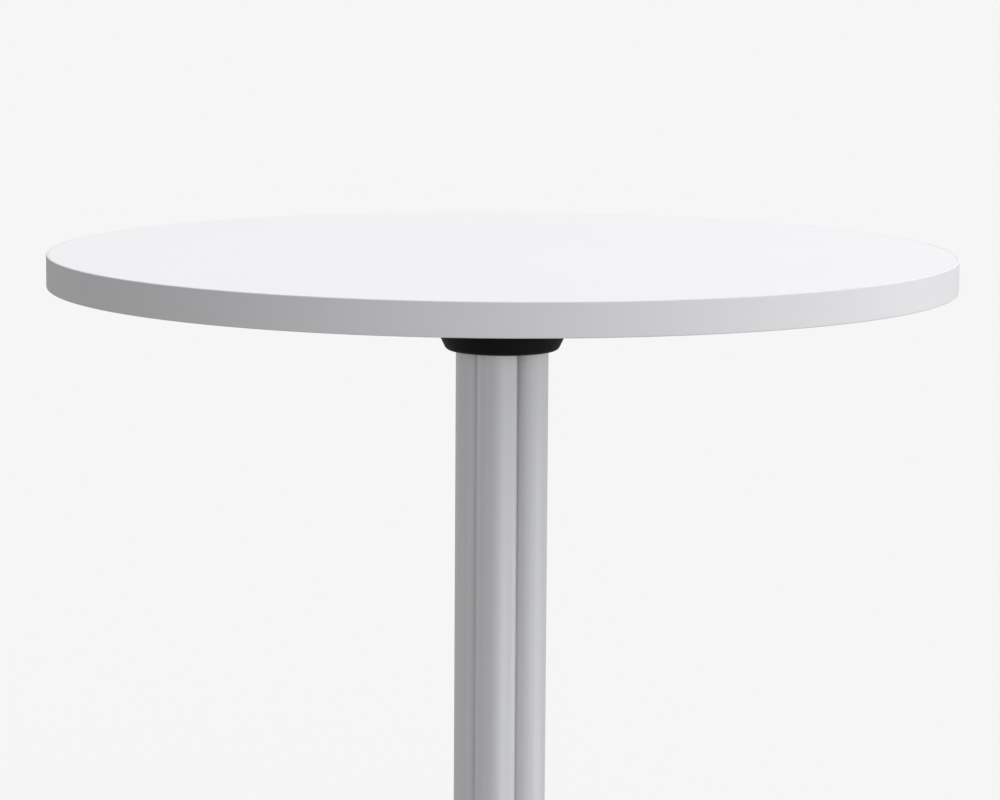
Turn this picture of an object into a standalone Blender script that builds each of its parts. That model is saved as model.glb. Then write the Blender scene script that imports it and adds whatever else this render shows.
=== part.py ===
"""A bistro table: a round laminate top on a four-lobed aluminium column with a four-arm foot.

Metres, +Z up. The origin is on the floor, on the column's axis, and the arms lie along X and Y.
"""

import math

import bmesh
import bpy

# Shared clearances
SEAT_GAP = 0.0003  # between two faces that rest on each other
FIT_GAP = 0.0003  # around a shank, rod or outline in its hole

# Table top: chipboard between two laminates, closed by a plastic edge band
TABLE_HEIGHT = 0.740
TOP_DIAMETER = 0.700
TOP_THICKNESS = 0.025
LAMINATE_THICKNESS = 0.0009
BAND_THICKNESS = 0.002
BAND_ROUNDING = 0.0015
TOP_STEPS = 80

# Column: an extrusion whose four lobes meet in four grooves, around a tube for the tie rod
LOBES = 4
COLUMN_WIDTH = 0.0725  # across two opposite lobes
LOBE_SPAN = math.radians(211)  # of a lobe's round outside, from groove to groove
COLUMN_WALL = 0.0022
WEB_THICKNESS = 0.0022
LOBE_STEPS = 14
TUBE_STEPS = 3  # of the quarter of the rod's tube that one chamber borders

# Tie rod, which clamps foot, column, collar and mounting cross together
ROD_RADIUS = 0.005
ROD_ENGAGEMENT = 0.032  # in the mounting cross's boss
ROD_END = 0.004  # past its nut
ROD_NUT_WIDTH = 0.016
ROD_NUT_HEIGHT = 0.008
ROD_WASHER_RADIUS = 0.012
ROD_WASHER_HEIGHT = 0.002
SPRING_WASHER_RADIUS = 0.009
SPRING_WASHER_HEIGHT = 0.0022

# Mounting cross under the top, with a boss that takes the tie rod
CROSS_REACH = 0.150
CROSS_WIDTH = 0.036
CROSS_THICKNESS = 0.006
CROSS_INNER_ROUNDING = 0.010
BOSS_RADIUS = 0.025
WOOD_SCREW_DISTANCES = (0.090, 0.132)  # from the axis, along each arm of the cross
WOOD_SCREW_RADIUS = 0.0025
WOOD_SCREW_LENGTH = 0.020
WOOD_SCREW_HEAD_RADIUS = 0.005
WOOD_SCREW_HEAD_CHAMFER = 0.0015
WOOD_SCREW_HEAD_HEIGHT = 0.003

# Collar between the column and the top
COLLAR_HEIGHT = 0.053
COLLAR_FLOOR = 0.006
COLLAR_RECESS = 0.003  # how deep the column sits in the collar's floor
COLLAR_WALL = 0.003
COLLAR_LEDGE = 0.004  # flat ring around the column
COLLAR_CORNER = 0.005
COLLAR_FLARE = 0.021  # how far the wall leans out from its foot to its rim
COLLAR_RIM_HEIGHT = 0.004
CORNER_STEPS = 4
DOWEL_RADIUS = 0.0025
DOWEL_DISTANCE = 0.016
DOWEL_DEPTH = 0.012  # in the boss

# Foot: a cast hub with four arms screwed to its flats
HUB_BOTTOM = 0.030
HUB_HEIGHT = 0.058
HUB_MARGIN = 0.01075  # from the column to the flats that carry the arms
HUB_FLAT_MARGIN = 0.002  # flat that shows beside an arm
HUB_WALL = 0.011
HUB_TOP_THICKNESS = 0.012
HUB_RECESS = 0.004  # how deep the column sits in the hub
HUB_CORNER_STEPS = 6
ROSETTE_HEIGHT = 0.020
ROSETTE_RIM = 0.0055  # flat ring around the column
ROSETTE_FLARE = 0.004
ROSETTE_ROUNDING = 0.003
COVER_THICKNESS = 0.0025
COVER_SKIRT = 0.0035
COVER_WALL = 0.002
COVER_MARGIN = 0.002

ARM_REACH = 0.300
ARM_ROOT_WIDTH = 0.040
ARM_TIP_WIDTH = 0.028
ARM_ROOT_TOP_DROP = 0.005  # the arm's top below the hub's top
ARM_ROOT_BOTTOM_RISE = 0.003  # the arm's underside above the hub's underside
ARM_TIP_THICKNESS = 0.0225
ARM_TOP_EDGE = 0.007
ARM_BOTTOM_EDGE = 0.0015
EDGE_LIMIT = 0.9  # of the half width that a rounded edge may take
ARM_NOSE_DROP = 0.005
ARM_SWEEP = 1.8  # how quickly the arm's top falls away from the hub
ARM_BELLY = 1.3  # the same for its underside
ARM_TAPER = 1.2  # the same for its width
ARM_FLAT_LENGTH = 0.040  # level underside at the tip, for the glide
ARM_SECTIONS = 9
NOSE_SPAN = math.radians(78)
NOSE_SECTIONS = 4

ARM_SCREW_RADIUS = 0.004
ARM_SCREW_GRIP = 0.018  # length in the arm
ARM_SCREW_HEAD_RADIUS = 0.0065
ARM_SCREW_HEAD_HEIGHT = 0.008
ARM_SCREW_RISE = 0.011  # of the lower screws above the hub's underside
ARM_SCREW_DROP = 0.011  # of the upper screws below the hub's ceiling
ARM_HOLE_SPARE = 0.003

# Levelling glides
GLIDE_INSET = 0.020  # from the arm's nose to the glide's axis
STEM_RADIUS = 0.004
STEM_SPARE = 0.006  # length above the insert when screwed in
STEM_CHAMFER = 0.001
GLIDE_WIDTH = 0.040
SOLE_THICKNESS = 0.002
SOLE_INSET = 0.002
PAD_HEIGHT = 0.0067
PAD_RIM_HEIGHT = 0.002
PAD_TOP_RADIUS = 0.011
PAD_FLOOR = 0.002
PAD_LIP = 0.0015
BALL_RADIUS = 0.006
BALL_FLAT_RADIUS = 0.0048
NECK_RADIUS = 0.0035
HEX_WIDTH = 0.013
HEX_HEIGHT = 0.004
LOCK_NUT_HEIGHT = 0.005
INSERT_RADIUS = 0.006
INSERT_LENGTH = 0.012
SMALL_STEPS = 12
PAD_STEPS = 20
ROUND_STEPS = 40

# Heights that follow from the sizes above
TOP_RADIUS = TOP_DIAMETER / 2
TOP_UNDERSIDE = TABLE_HEIGHT - TOP_THICKNESS
PANEL_RADIUS = TOP_RADIUS - BAND_THICKNESS - SEAT_GAP
CORE_TOP = TABLE_HEIGHT - LAMINATE_THICKNESS - SEAT_GAP
CORE_BOTTOM = TOP_UNDERSIDE + LAMINATE_THICKNESS + SEAT_GAP
CROSS_TOP = TOP_UNDERSIDE - SEAT_GAP
CROSS_BOTTOM = CROSS_TOP - CROSS_THICKNESS
COLLAR_TOP = TOP_UNDERSIDE - SEAT_GAP
COLLAR_BOTTOM = TOP_UNDERSIDE - COLLAR_HEIGHT
BOSS_BOTTOM = COLLAR_BOTTOM + COLLAR_FLOOR + SEAT_GAP
COLUMN_TOP = COLLAR_BOTTOM + COLLAR_RECESS - SEAT_GAP
HUB_TOP = HUB_BOTTOM + HUB_HEIGHT
HUB_CEILING = HUB_TOP - HUB_TOP_THICKNESS
COLUMN_BOTTOM = HUB_TOP - HUB_RECESS + SEAT_GAP
ROD_HOLE_RADIUS = ROD_RADIUS + FIT_GAP
HUB_FLAT_DISTANCE = COLUMN_WIDTH / 2 + HUB_MARGIN
CAVITY_FLAT_DISTANCE = HUB_FLAT_DISTANCE - HUB_WALL
HUB_RADIUS = math.hypot(HUB_FLAT_DISTANCE, ARM_ROOT_WIDTH / 2 + HUB_FLAT_MARGIN)
CAVITY_RADIUS = HUB_RADIUS - HUB_WALL
ARM_ROOT = HUB_FLAT_DISTANCE + SEAT_GAP
GLIDE_DISTANCE = ARM_REACH - GLIDE_INSET
PAD_BOTTOM = SOLE_THICKNESS + SEAT_GAP
PAD_TOP = PAD_BOTTOM + PAD_HEIGHT
HEX_BOTTOM = PAD_TOP + SEAT_GAP
HEX_TOP = HEX_BOTTOM + HEX_HEIGHT
LOCK_NUT_BOTTOM = HEX_TOP + SEAT_GAP
ARM_TIP_BOTTOM = LOCK_NUT_BOTTOM + LOCK_NUT_HEIGHT + SEAT_GAP
INSERT_BOTTOM = ARM_TIP_BOTTOM + SEAT_GAP
INSERT_TOP = INSERT_BOTTOM + INSERT_LENGTH
STEM_TOP = INSERT_TOP + STEM_SPARE
OVERRUN = 0.002  # how far a cutter runs past the face it opens

# The circle of one lobe: its span ends where it meets the next lobe's, on the line between them
HALF_LOBE_ANGLE = math.pi / LOBES
LOBE_OFFSET_RATIO = math.sin(LOBE_SPAN / 2) / math.tan(HALF_LOBE_ANGLE) - math.cos(LOBE_SPAN / 2)
LOBE_RADIUS = COLUMN_WIDTH / 2 / (1 + LOBE_OFFSET_RATIO)
LOBE_OFFSET = COLUMN_WIDTH / 2 - LOBE_RADIUS


def clear_scene():
    for old in list(bpy.data.objects):
        bpy.data.objects.remove(old, do_unlink=True)


def finish(name, colour, roughness, metallic=0.0):
    made = bpy.data.materials.new(name)
    made.use_nodes = True
    shader = made.node_tree.nodes["Principled BSDF"]
    shader.inputs["Base Color"].default_value = (*colour, 1.0)
    shader.inputs["Roughness"].default_value = roughness
    shader.inputs["Metallic"].default_value = metallic
    return made


def empty(name, parent=None, location=(0, 0, 0), turn=0.0):
    made = bpy.data.objects.new(name, None)
    bpy.context.scene.collection.objects.link(made)
    made.parent = parent
    made.location = location
    made.rotation_euler = (0, 0, turn)
    return made


def as_object(name, bm, material):
    """Turns a finished bmesh into an object with outward faces and smooth round sides."""
    bmesh.ops.recalc_face_normals(bm, faces=bm.faces)
    mesh = bpy.data.meshes.new(name)
    bm.to_mesh(mesh)
    bm.free()
    mesh.shade_smooth()
    mesh.set_sharp_from_angle(angle=math.radians(35))
    mesh.materials.append(material)
    return place(name, mesh)


def place(name, mesh, parent=None):
    made = bpy.data.objects.new(name, mesh)
    bpy.context.scene.collection.objects.link(made)
    made.parent = parent
    return made


def turned(name, profile, steps, material):
    """A solid turned about Z from a closed outline of (radius, height) points; radius 0 is a pole."""
    bm = bmesh.new()
    rings = []
    for radius, height in profile:
        if radius == 0:
            rings.append([bm.verts.new((0, 0, height))])
            continue
        angles = [2 * math.pi * i / steps for i in range(steps)]
        rings.append([bm.verts.new((radius * math.cos(a), radius * math.sin(a), height)) for a in angles])
    for lower, upper in zip(rings, rings[1:] + rings[:1]):
        if len(lower) == len(upper) == 1:
            continue
        for i in range(steps):
            j = (i + 1) % steps
            corners = [lower[i % len(lower)], lower[j % len(lower)]]
            corners += [upper[j % len(upper)], upper[i % len(upper)]]
            bm.faces.new(list(dict.fromkeys(corners)))
    return as_object(name, bm, material)


def prism(name, outline, bottom, top, material, holes=()):
    """A flat outline of (x, y) points, with any holes through it, drawn up from bottom to top."""
    bm = bmesh.new()
    edges = []
    for loop in (outline, *holes):
        ring = [bm.verts.new((x, y, bottom)) for x, y in loop]
        edges += [bm.edges.new(pair) for pair in zip(ring, ring[1:] + ring[:1])]
    bmesh.ops.triangle_fill(bm, use_beauty=True, edges=edges)
    grown = bmesh.ops.extrude_face_region(bm, geom=list(bm.faces), use_keep_orig=True)
    moved = [item for item in grown["geom"] if isinstance(item, bmesh.types.BMVert)]
    bmesh.ops.translate(bm, vec=(0, 0, top - bottom), verts=moved)
    return as_object(name, bm, material)


def combine(target, tool, operation):
    """Adds a Boolean that keeps its tool as a hidden helper."""
    tool.hide_render = True
    tool.display_type = "WIRE"
    modifier = target.modifiers.new(tool.name, "BOOLEAN")
    modifier.operation = operation
    modifier.object = tool


def mesh_of(made):
    """The object's mesh with its modifiers worked in; the object and its tools are removed."""
    graph = bpy.context.evaluated_depsgraph_get()
    mesh = bpy.data.meshes.new_from_object(made.evaluated_get(graph))
    for used in [modifier.object for modifier in made.modifiers] + [made]:
        bpy.data.objects.remove(used, do_unlink=True)
    return mesh


def arc(centre, radius, start, end, steps):
    """Points along an arc, both ends included, with angles in radians."""
    angles = [start + (end - start) * i / steps for i in range(steps + 1)]
    return [(centre[0] + radius * math.cos(a), centre[1] + radius * math.sin(a)) for a in angles]


def circle(radius, steps, centre=(0, 0)):
    return arc(centre, radius, 0, 2 * math.pi, steps)[:-1]


def hexagon(across_flats):
    return circle(across_flats / 2 / math.cos(math.pi / 6), 6)


def turned_points(points, turn):
    c, s = math.cos(turn), math.sin(turn)
    return [(x * c - y * s, x * s + y * c) for x, y in points]


def fourfold(points):
    """The same stretch of outline repeated on each of the four sides."""
    return [p for side in range(LOBES) for p in turned_points(points, 2 * math.pi * side / LOBES)]


def clover(margin=0.0):
    """The column's outline, grown by margin."""
    radius = LOBE_RADIUS + margin
    groove_height = LOBE_OFFSET * math.sin(HALF_LOBE_ANGLE)
    groove_distance = LOBE_OFFSET * math.cos(HALF_LOBE_ANGLE) + math.sqrt(radius**2 - groove_height**2)
    rise = groove_distance * math.sin(HALF_LOBE_ANGLE)
    run = groove_distance * math.cos(HALF_LOBE_ANGLE) - LOBE_OFFSET
    end = math.atan2(rise, run)
    return fourfold(arc((LOBE_OFFSET, 0), radius, -end, end, LOBE_STEPS)[:-1])


def chamber():
    """The hollow of the lobe along +X, between the outer wall, two webs and the rod's tube."""
    radius = LOBE_RADIUS - COLUMN_WALL
    half_web = WEB_THICKNESS / 2
    to_web = LOBE_OFFSET * math.sin(HALF_LOBE_ANGLE) - half_web
    along_web = LOBE_OFFSET * math.cos(HALF_LOBE_ANGLE) + math.sqrt(radius**2 - to_web**2)
    [(x, y)] = turned_points([(along_web, -half_web)], HALF_LOBE_ANGLE)
    outer_end = math.atan2(y, x - LOBE_OFFSET)
    tube_radius = ROD_HOLE_RADIUS + FIT_GAP + COLUMN_WALL
    inner_end = HALF_LOBE_ANGLE - math.asin(half_web / tube_radius)
    outer = arc((LOBE_OFFSET, 0), radius, -outer_end, outer_end, LOBE_STEPS)
    return outer + arc((0, 0), tube_radius, inner_end, -inner_end, TUBE_STEPS)


def clipped_circle(radius, flat_distance, steps):
    """A circle with four flats across X and Y."""
    corner = math.acos(flat_distance / radius)
    return fourfold(arc((0, 0), radius, corner, math.pi / 2 - corner, steps))


def cross_outline(reach, half_width, rounding):
    """A plus with round ends and rounded inner corners."""
    end = arc((reach - half_width, 0), half_width, -math.pi / 2, math.pi / 2, 8)
    inner_centre = (half_width + rounding, half_width + rounding)
    inner = arc(inner_centre, rounding, -math.pi / 2, -math.pi, 3)
    return fourfold(end + inner)


def build_top(finishes):
    """Core, two laminates and the edge band."""
    white, chipboard = finishes["white_laminate"], finishes["chipboard"]
    holes = [circle(WOOD_SCREW_RADIUS + FIT_GAP, SMALL_STEPS, spot) for spot in screw_spots()]
    panel = circle(PANEL_RADIUS, TOP_STEPS)
    prism("top_laminate", panel, CORE_TOP + SEAT_GAP, TABLE_HEIGHT, white)
    prism("backing_laminate", panel, TOP_UNDERSIDE, CORE_BOTTOM - SEAT_GAP, white, holes)
    core = prism("tabletop_core", panel, CORE_BOTTOM, CORE_TOP, chipboard)
    pilot_top = CROSS_BOTTOM + WOOD_SCREW_LENGTH + SEAT_GAP
    for number, hole in enumerate(holes, 1):
        pilot = prism(f"pilot_hole_{number}", hole, CORE_BOTTOM - OVERRUN, pilot_top, chipboard)
        combine(core, pilot, "DIFFERENCE")

    inner = TOP_RADIUS - BAND_THICKNESS
    outer = TOP_RADIUS - BAND_ROUNDING
    low = TOP_UNDERSIDE + BAND_ROUNDING
    high = TABLE_HEIGHT - BAND_ROUNDING
    profile = [(inner, TOP_UNDERSIDE)]
    profile += arc((outer, low), BAND_ROUNDING, -math.pi / 2, 0, 2)
    profile += arc((outer, high), BAND_ROUNDING, 0, math.pi / 2, 2)
    profile += [(inner, TABLE_HEIGHT)]
    turned("edge_band", profile, TOP_STEPS, finishes["white_edging"])


def screw_spots():
    return [spot for distance in WOOD_SCREW_DISTANCES for spot in fourfold([(distance, 0)])]


def dowel_spots():
    return [(side * DOWEL_DISTANCE, 0) for side in (-1, 1)]


def build_mounting_cross(finishes):
    """The cross with its boss and the dowel pins in it."""
    steel = finishes["black_steel"]
    holes = [circle(WOOD_SCREW_RADIUS + FIT_GAP, SMALL_STEPS, spot) for spot in screw_spots()]
    outline = cross_outline(CROSS_REACH, CROSS_WIDTH / 2, CROSS_INNER_ROUNDING)
    cross = prism("mounting_cross", outline, CROSS_BOTTOM, CROSS_TOP, steel, holes)
    plate_middle = (CROSS_BOTTOM + CROSS_TOP) / 2
    boss = prism("boss", circle(BOSS_RADIUS, ROUND_STEPS), BOSS_BOTTOM, plate_middle, steel)
    combine(cross, boss, "UNION")
    bore = circle(ROD_HOLE_RADIUS, PAD_STEPS)
    bore_tool = prism("boss_bore", bore, BOSS_BOTTOM - OVERRUN, CROSS_TOP + OVERRUN, steel)
    combine(cross, bore_tool, "DIFFERENCE")
    dowel_top = BOSS_BOTTOM + DOWEL_DEPTH
    for number, spot in enumerate(dowel_spots(), 1):
        hole = circle(DOWEL_RADIUS + FIT_GAP, SMALL_STEPS, spot)
        hole_tool = prism(
            f"dowel_hole_{number}", hole, BOSS_BOTTOM - OVERRUN, dowel_top + SEAT_GAP, steel
        )
        combine(cross, hole_tool, "DIFFERENCE")
        pin = circle(DOWEL_RADIUS, SMALL_STEPS)
        dowel = prism(
            f"dowel_pin_{number}", pin, COLUMN_TOP + SEAT_GAP, dowel_top, finishes["zinc_steel"]
        )
        dowel.location.x = spot[0]


def build_wood_screws(finishes):
    """The screws that hold the cross to the top."""
    head_top = CROSS_BOTTOM - SEAT_GAP
    head_bottom = head_top - WOOD_SCREW_HEAD_HEIGHT
    tip = CROSS_BOTTOM + WOOD_SCREW_LENGTH
    profile = [
        (0, head_bottom),
        (WOOD_SCREW_HEAD_RADIUS - WOOD_SCREW_HEAD_CHAMFER, head_bottom),
        (WOOD_SCREW_HEAD_RADIUS, head_bottom + WOOD_SCREW_HEAD_CHAMFER),
        (WOOD_SCREW_HEAD_RADIUS, head_top),
        (WOOD_SCREW_RADIUS, head_top),
        (WOOD_SCREW_RADIUS, tip - WOOD_SCREW_RADIUS),
        (0, tip),
    ]
    mesh = mesh_of(turned("wood_screw_blank", profile, SMALL_STEPS, finishes["zinc_steel"]))
    for number, (x, y) in enumerate(screw_spots(), 1):
        place(f"wood_screw_{number}", mesh).location = (x, y, 0)


def build_collar(finishes):
    """The cup that joins the column to the top, keyed to the column by its outline."""
    plastic = finishes["black_plastic"]
    foot = COLUMN_WIDTH / 2 + COLLAR_LEDGE
    rim_bottom = COLLAR_TOP - COLLAR_RIM_HEIGHT
    floor_top = COLLAR_BOTTOM + COLLAR_FLOOR
    lean = math.atan2(COLLAR_FLARE, rim_bottom - COLLAR_BOTTOM - COLLAR_CORNER)
    corner_centre = (foot, COLLAR_BOTTOM + COLLAR_CORNER)
    corner = arc(corner_centre, COLLAR_CORNER, -math.pi / 2, -lean, CORNER_STEPS)
    wall_foot = corner[-1][0]
    rim_radius = wall_foot + COLLAR_FLARE
    hole = ROD_HOLE_RADIUS + FIT_GAP
    profile = [(hole, COLLAR_BOTTOM), *corner, (rim_radius, rim_bottom), (rim_radius, COLLAR_TOP)]
    profile += [
        (rim_radius - COLLAR_WALL, COLLAR_TOP),
        (rim_radius - COLLAR_WALL, rim_bottom),
        (wall_foot - COLLAR_WALL, floor_top),
        (hole, floor_top),
    ]
    collar = turned("top_collar", profile, ROUND_STEPS, plastic)
    recess_top = COLLAR_BOTTOM + COLLAR_RECESS
    recess = prism("collar_recess", clover(FIT_GAP), COLLAR_BOTTOM - OVERRUN, recess_top, plastic)
    combine(collar, recess, "DIFFERENCE")
    cross = cross_outline(CROSS_REACH, CROSS_WIDTH / 2 + FIT_GAP, CROSS_INNER_ROUNDING)
    notches = prism("collar_notches", cross, CROSS_BOTTOM - SEAT_GAP, CROSS_TOP + OVERRUN, plastic)
    combine(collar, notches, "DIFFERENCE")
    for number, spot in enumerate(dowel_spots(), 1):
        seat = circle(DOWEL_RADIUS + FIT_GAP, SMALL_STEPS, spot)
        drill = prism(f"collar_dowel_hole_{number}", seat, COLLAR_BOTTOM, floor_top + OVERRUN, plastic)
        combine(collar, drill, "DIFFERENCE")


def build_column(finishes):
    """The extrusion, with four lobe chambers and the rod's bore running its whole length."""
    chambers = [turned_points(chamber(), 2 * math.pi * side / LOBES) for side in range(LOBES)]
    bore = circle(ROD_HOLE_RADIUS + FIT_GAP, PAD_STEPS)
    prism("column", clover(), COLUMN_BOTTOM, COLUMN_TOP, finishes["anodised_aluminium"], [*chambers, bore])


def build_tie_rod(finishes):
    """The rod, its nut and its two washers under the hub's ceiling."""
    steel = finishes["zinc_steel"]
    hole = circle(ROD_HOLE_RADIUS, PAD_STEPS)
    washer = circle(ROD_WASHER_RADIUS, PAD_STEPS)
    spring_washer = circle(SPRING_WASHER_RADIUS, PAD_STEPS)
    washer_top = HUB_CEILING - SEAT_GAP
    washer_bottom = washer_top - ROD_WASHER_HEIGHT
    spring_top = washer_bottom - SEAT_GAP
    spring_bottom = spring_top - SPRING_WASHER_HEIGHT
    nut_top = spring_bottom - SEAT_GAP
    nut_bottom = nut_top - ROD_NUT_HEIGHT
    rod_top = BOSS_BOTTOM + ROD_ENGAGEMENT
    prism("tie_rod", circle(ROD_RADIUS, PAD_STEPS), nut_bottom - ROD_END, rod_top, steel)
    prism("tie_rod_nut", hexagon(ROD_NUT_WIDTH), nut_bottom, nut_top, steel, [hole])
    prism("tie_rod_washer", washer, washer_bottom, washer_top, steel, [hole])
    prism("tie_rod_spring_washer", spring_washer, spring_bottom, spring_top, steel, [hole])


def arm_screw_heights():
    return (HUB_BOTTOM + ARM_SCREW_RISE, HUB_CEILING - ARM_SCREW_DROP)


def lying(name, profile, steps, material, height):
    """A turned piece laid along +X at a height."""
    made = turned(name, profile, steps, material)
    made.rotation_euler.y = math.pi / 2
    made.location.z = height
    return made


def build_hub(finishes):
    """The cast hub, hollow from below, with the column's seat and the holes for the arms' screws."""
    metal = finishes["cast_aluminium"]
    outline = clipped_circle(HUB_RADIUS, HUB_FLAT_DISTANCE, HUB_CORNER_STEPS)
    inside = clipped_circle(CAVITY_RADIUS, CAVITY_FLAT_DISTANCE, HUB_CORNER_STEPS)
    rod_hole = circle(ROD_HOLE_RADIUS, PAD_STEPS)
    above = HUB_TOP + OVERRUN
    hub = prism("base_hub", outline, HUB_BOTTOM, HUB_TOP, metal)
    for tool in (
        prism("hub_cavity", inside, HUB_BOTTOM - OVERRUN, HUB_CEILING, metal),
        prism("hub_recess", clover(FIT_GAP), HUB_TOP - HUB_RECESS, above, metal),
        prism("hub_rod_hole", rod_hole, HUB_CEILING - OVERRUN, above, metal),
    ):
        combine(hub, tool, "DIFFERENCE")
    reach = HUB_FLAT_DISTANCE + OVERRUN
    hole_radius = ARM_SCREW_RADIUS + FIT_GAP
    drill = [(0, -reach), (hole_radius, -reach), (hole_radius, reach), (0, reach)]
    for level, height in enumerate(arm_screw_heights(), 1):
        for side in range(2):
            tool = lying(f"hub_screw_hole_{level}_{side + 1}", drill, SMALL_STEPS, metal, height)
            tool.rotation_euler.z = side * math.pi / 2
            combine(hub, tool, "DIFFERENCE")


def build_rosette(finishes):
    """The ring round the column that hides its seat in the hub."""
    plastic = finishes["black_plastic"]
    bottom = HUB_TOP + SEAT_GAP
    top = bottom + ROSETTE_HEIGHT
    rim = COLUMN_WIDTH / 2 + ROSETTE_RIM
    shoulder_centre = (rim - ROSETTE_ROUNDING, top - ROSETTE_ROUNDING)
    shoulder = arc(shoulder_centre, ROSETTE_ROUNDING, 0, math.pi / 2, CORNER_STEPS)
    profile = [(0, bottom), (rim + ROSETTE_FLARE, bottom), *shoulder, (0, top)]
    rosette = turned("base_rosette", profile, ROUND_STEPS, plastic)
    opening = prism("rosette_opening", clover(FIT_GAP), bottom - OVERRUN, top + OVERRUN, plastic)
    combine(rosette, opening, "DIFFERENCE")


def build_cover(finishes):
    """The plate that closes the hub, with a skirt that plugs into it."""
    plastic = finishes["black_plastic"]
    top = HUB_BOTTOM - SEAT_GAP
    bottom = top - COVER_THICKNESS
    plate = clipped_circle(HUB_RADIUS - COVER_MARGIN, HUB_FLAT_DISTANCE - COVER_MARGIN, HUB_CORNER_STEPS)
    outer, inner = (
        clipped_circle(CAVITY_RADIUS - inset, CAVITY_FLAT_DISTANCE - inset, HUB_CORNER_STEPS)
        for inset in (FIT_GAP, FIT_GAP + COVER_WALL)
    )
    cover = prism("hub_cover", plate, bottom, top, plastic)
    skirt = prism("cover_skirt", outer, (bottom + top) / 2, top + COVER_SKIRT, plastic, [inner])
    combine(cover, skirt, "UNION")


def arm_section(distance):
    """(half width, bottom, top) of the arm at this distance from the axis, before its nose rounds off."""
    left = (ARM_REACH - distance) / (ARM_REACH - ARM_ROOT)
    curved = ARM_REACH - ARM_FLAT_LENGTH - ARM_ROOT
    curved_left = max(0.0, ARM_REACH - ARM_FLAT_LENGTH - distance) / curved
    root_bottom = HUB_BOTTOM + ARM_ROOT_BOTTOM_RISE
    root_top = HUB_TOP - ARM_ROOT_TOP_DROP
    tip_top = ARM_TIP_BOTTOM + ARM_TIP_THICKNESS
    half_width = (ARM_TIP_WIDTH + (ARM_ROOT_WIDTH - ARM_TIP_WIDTH) * left**ARM_TAPER) / 2
    bottom = ARM_TIP_BOTTOM + (root_bottom - ARM_TIP_BOTTOM) * curved_left**ARM_BELLY
    top = tip_top + (root_top - tip_top) * left**ARM_SWEEP
    return half_width, bottom, top


def section_points(distance, half_width, bottom, top):
    """One ring of the arm: a flat underside with small edges and a top with large round ones."""
    big = min(ARM_TOP_EDGE, half_width * EDGE_LIMIT)
    small = min(ARM_BOTTOM_EDGE, half_width * EDGE_LIMIT)
    right = arc((half_width - small, bottom + small), small, -math.pi / 2, 0, 2)
    right += arc((half_width - big, top - big), big, 0, math.pi / 2, CORNER_STEPS)
    left = [(-y, z) for y, z in reversed(right)]
    return [(distance, y, z) for y, z in right + left]


def arm_rings():
    nose_length = ARM_TIP_WIDTH / 2
    nose_start = ARM_REACH - nose_length
    for i in range(ARM_SECTIONS):
        distance = ARM_ROOT + (nose_start - ARM_ROOT) * i / (ARM_SECTIONS - 1)
        yield section_points(distance, *arm_section(distance))
    for i in range(1, NOSE_SECTIONS + 1):
        angle = NOSE_SPAN * i / NOSE_SECTIONS
        distance = nose_start + nose_length * math.sin(angle)
        half_width, bottom, top = arm_section(distance)
        shrink = math.cos(angle)
        yield section_points(distance, half_width * shrink, bottom, top - ARM_NOSE_DROP * (1 - shrink))


def arm_solid(material):
    """The arm with its holes for two screws and the glide's insert."""
    bm = bmesh.new()
    rings = [[bm.verts.new(point) for point in ring] for ring in arm_rings()]
    count = len(rings[0])
    for near, far in zip(rings, rings[1:]):
        for i in range(count):
            j = (i + 1) % count
            bm.faces.new((near[i], near[j], far[j], far[i]))
    bm.faces.new(reversed(rings[0]))
    bm.faces.new(rings[-1])
    bmesh.ops.triangulate(bm, faces=bm.faces)
    arm = as_object("arm_blank", bm, material)

    insert_hole_radius = INSERT_RADIUS + FIT_GAP
    stem_hole_radius = STEM_RADIUS + FIT_GAP
    drill = [(0, ARM_TIP_BOTTOM - OVERRUN), (insert_hole_radius, ARM_TIP_BOTTOM - OVERRUN)]
    drill += [(insert_hole_radius, INSERT_TOP + SEAT_GAP), (stem_hole_radius, INSERT_TOP + SEAT_GAP)]
    drill += [(stem_hole_radius, STEM_TOP + SEAT_GAP), (0, STEM_TOP + SEAT_GAP)]
    insert_hole = turned("insert_hole", drill, PAD_STEPS, material)
    insert_hole.location.x = GLIDE_DISTANCE
    combine(arm, insert_hole, "DIFFERENCE")

    thread_radius = ARM_SCREW_RADIUS + FIT_GAP
    thread_end = ARM_ROOT + ARM_SCREW_GRIP + ARM_HOLE_SPARE
    thread = [(0, ARM_ROOT - OVERRUN), (thread_radius, ARM_ROOT - OVERRUN)]
    thread += [(thread_radius, thread_end), (0, thread_end + thread_radius / 2)]
    for level, height in enumerate(arm_screw_heights(), 1):
        combine(arm, lying(f"arm_thread_{level}", thread, SMALL_STEPS, material, height), "DIFFERENCE")
    return arm


def arm_screw(material):
    head_seat = CAVITY_FLAT_DISTANCE - SEAT_GAP
    head_face = head_seat - ARM_SCREW_HEAD_HEIGHT
    screw_end = ARM_ROOT + ARM_SCREW_GRIP
    profile = [
        (0, head_face),
        (ARM_SCREW_HEAD_RADIUS, head_face),
        (ARM_SCREW_HEAD_RADIUS, head_seat),
        (ARM_SCREW_RADIUS, head_seat),
        (ARM_SCREW_RADIUS, screw_end),
        (0, screw_end),
    ]
    return turned("arm_screw_blank", profile, SMALL_STEPS, material)


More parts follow.
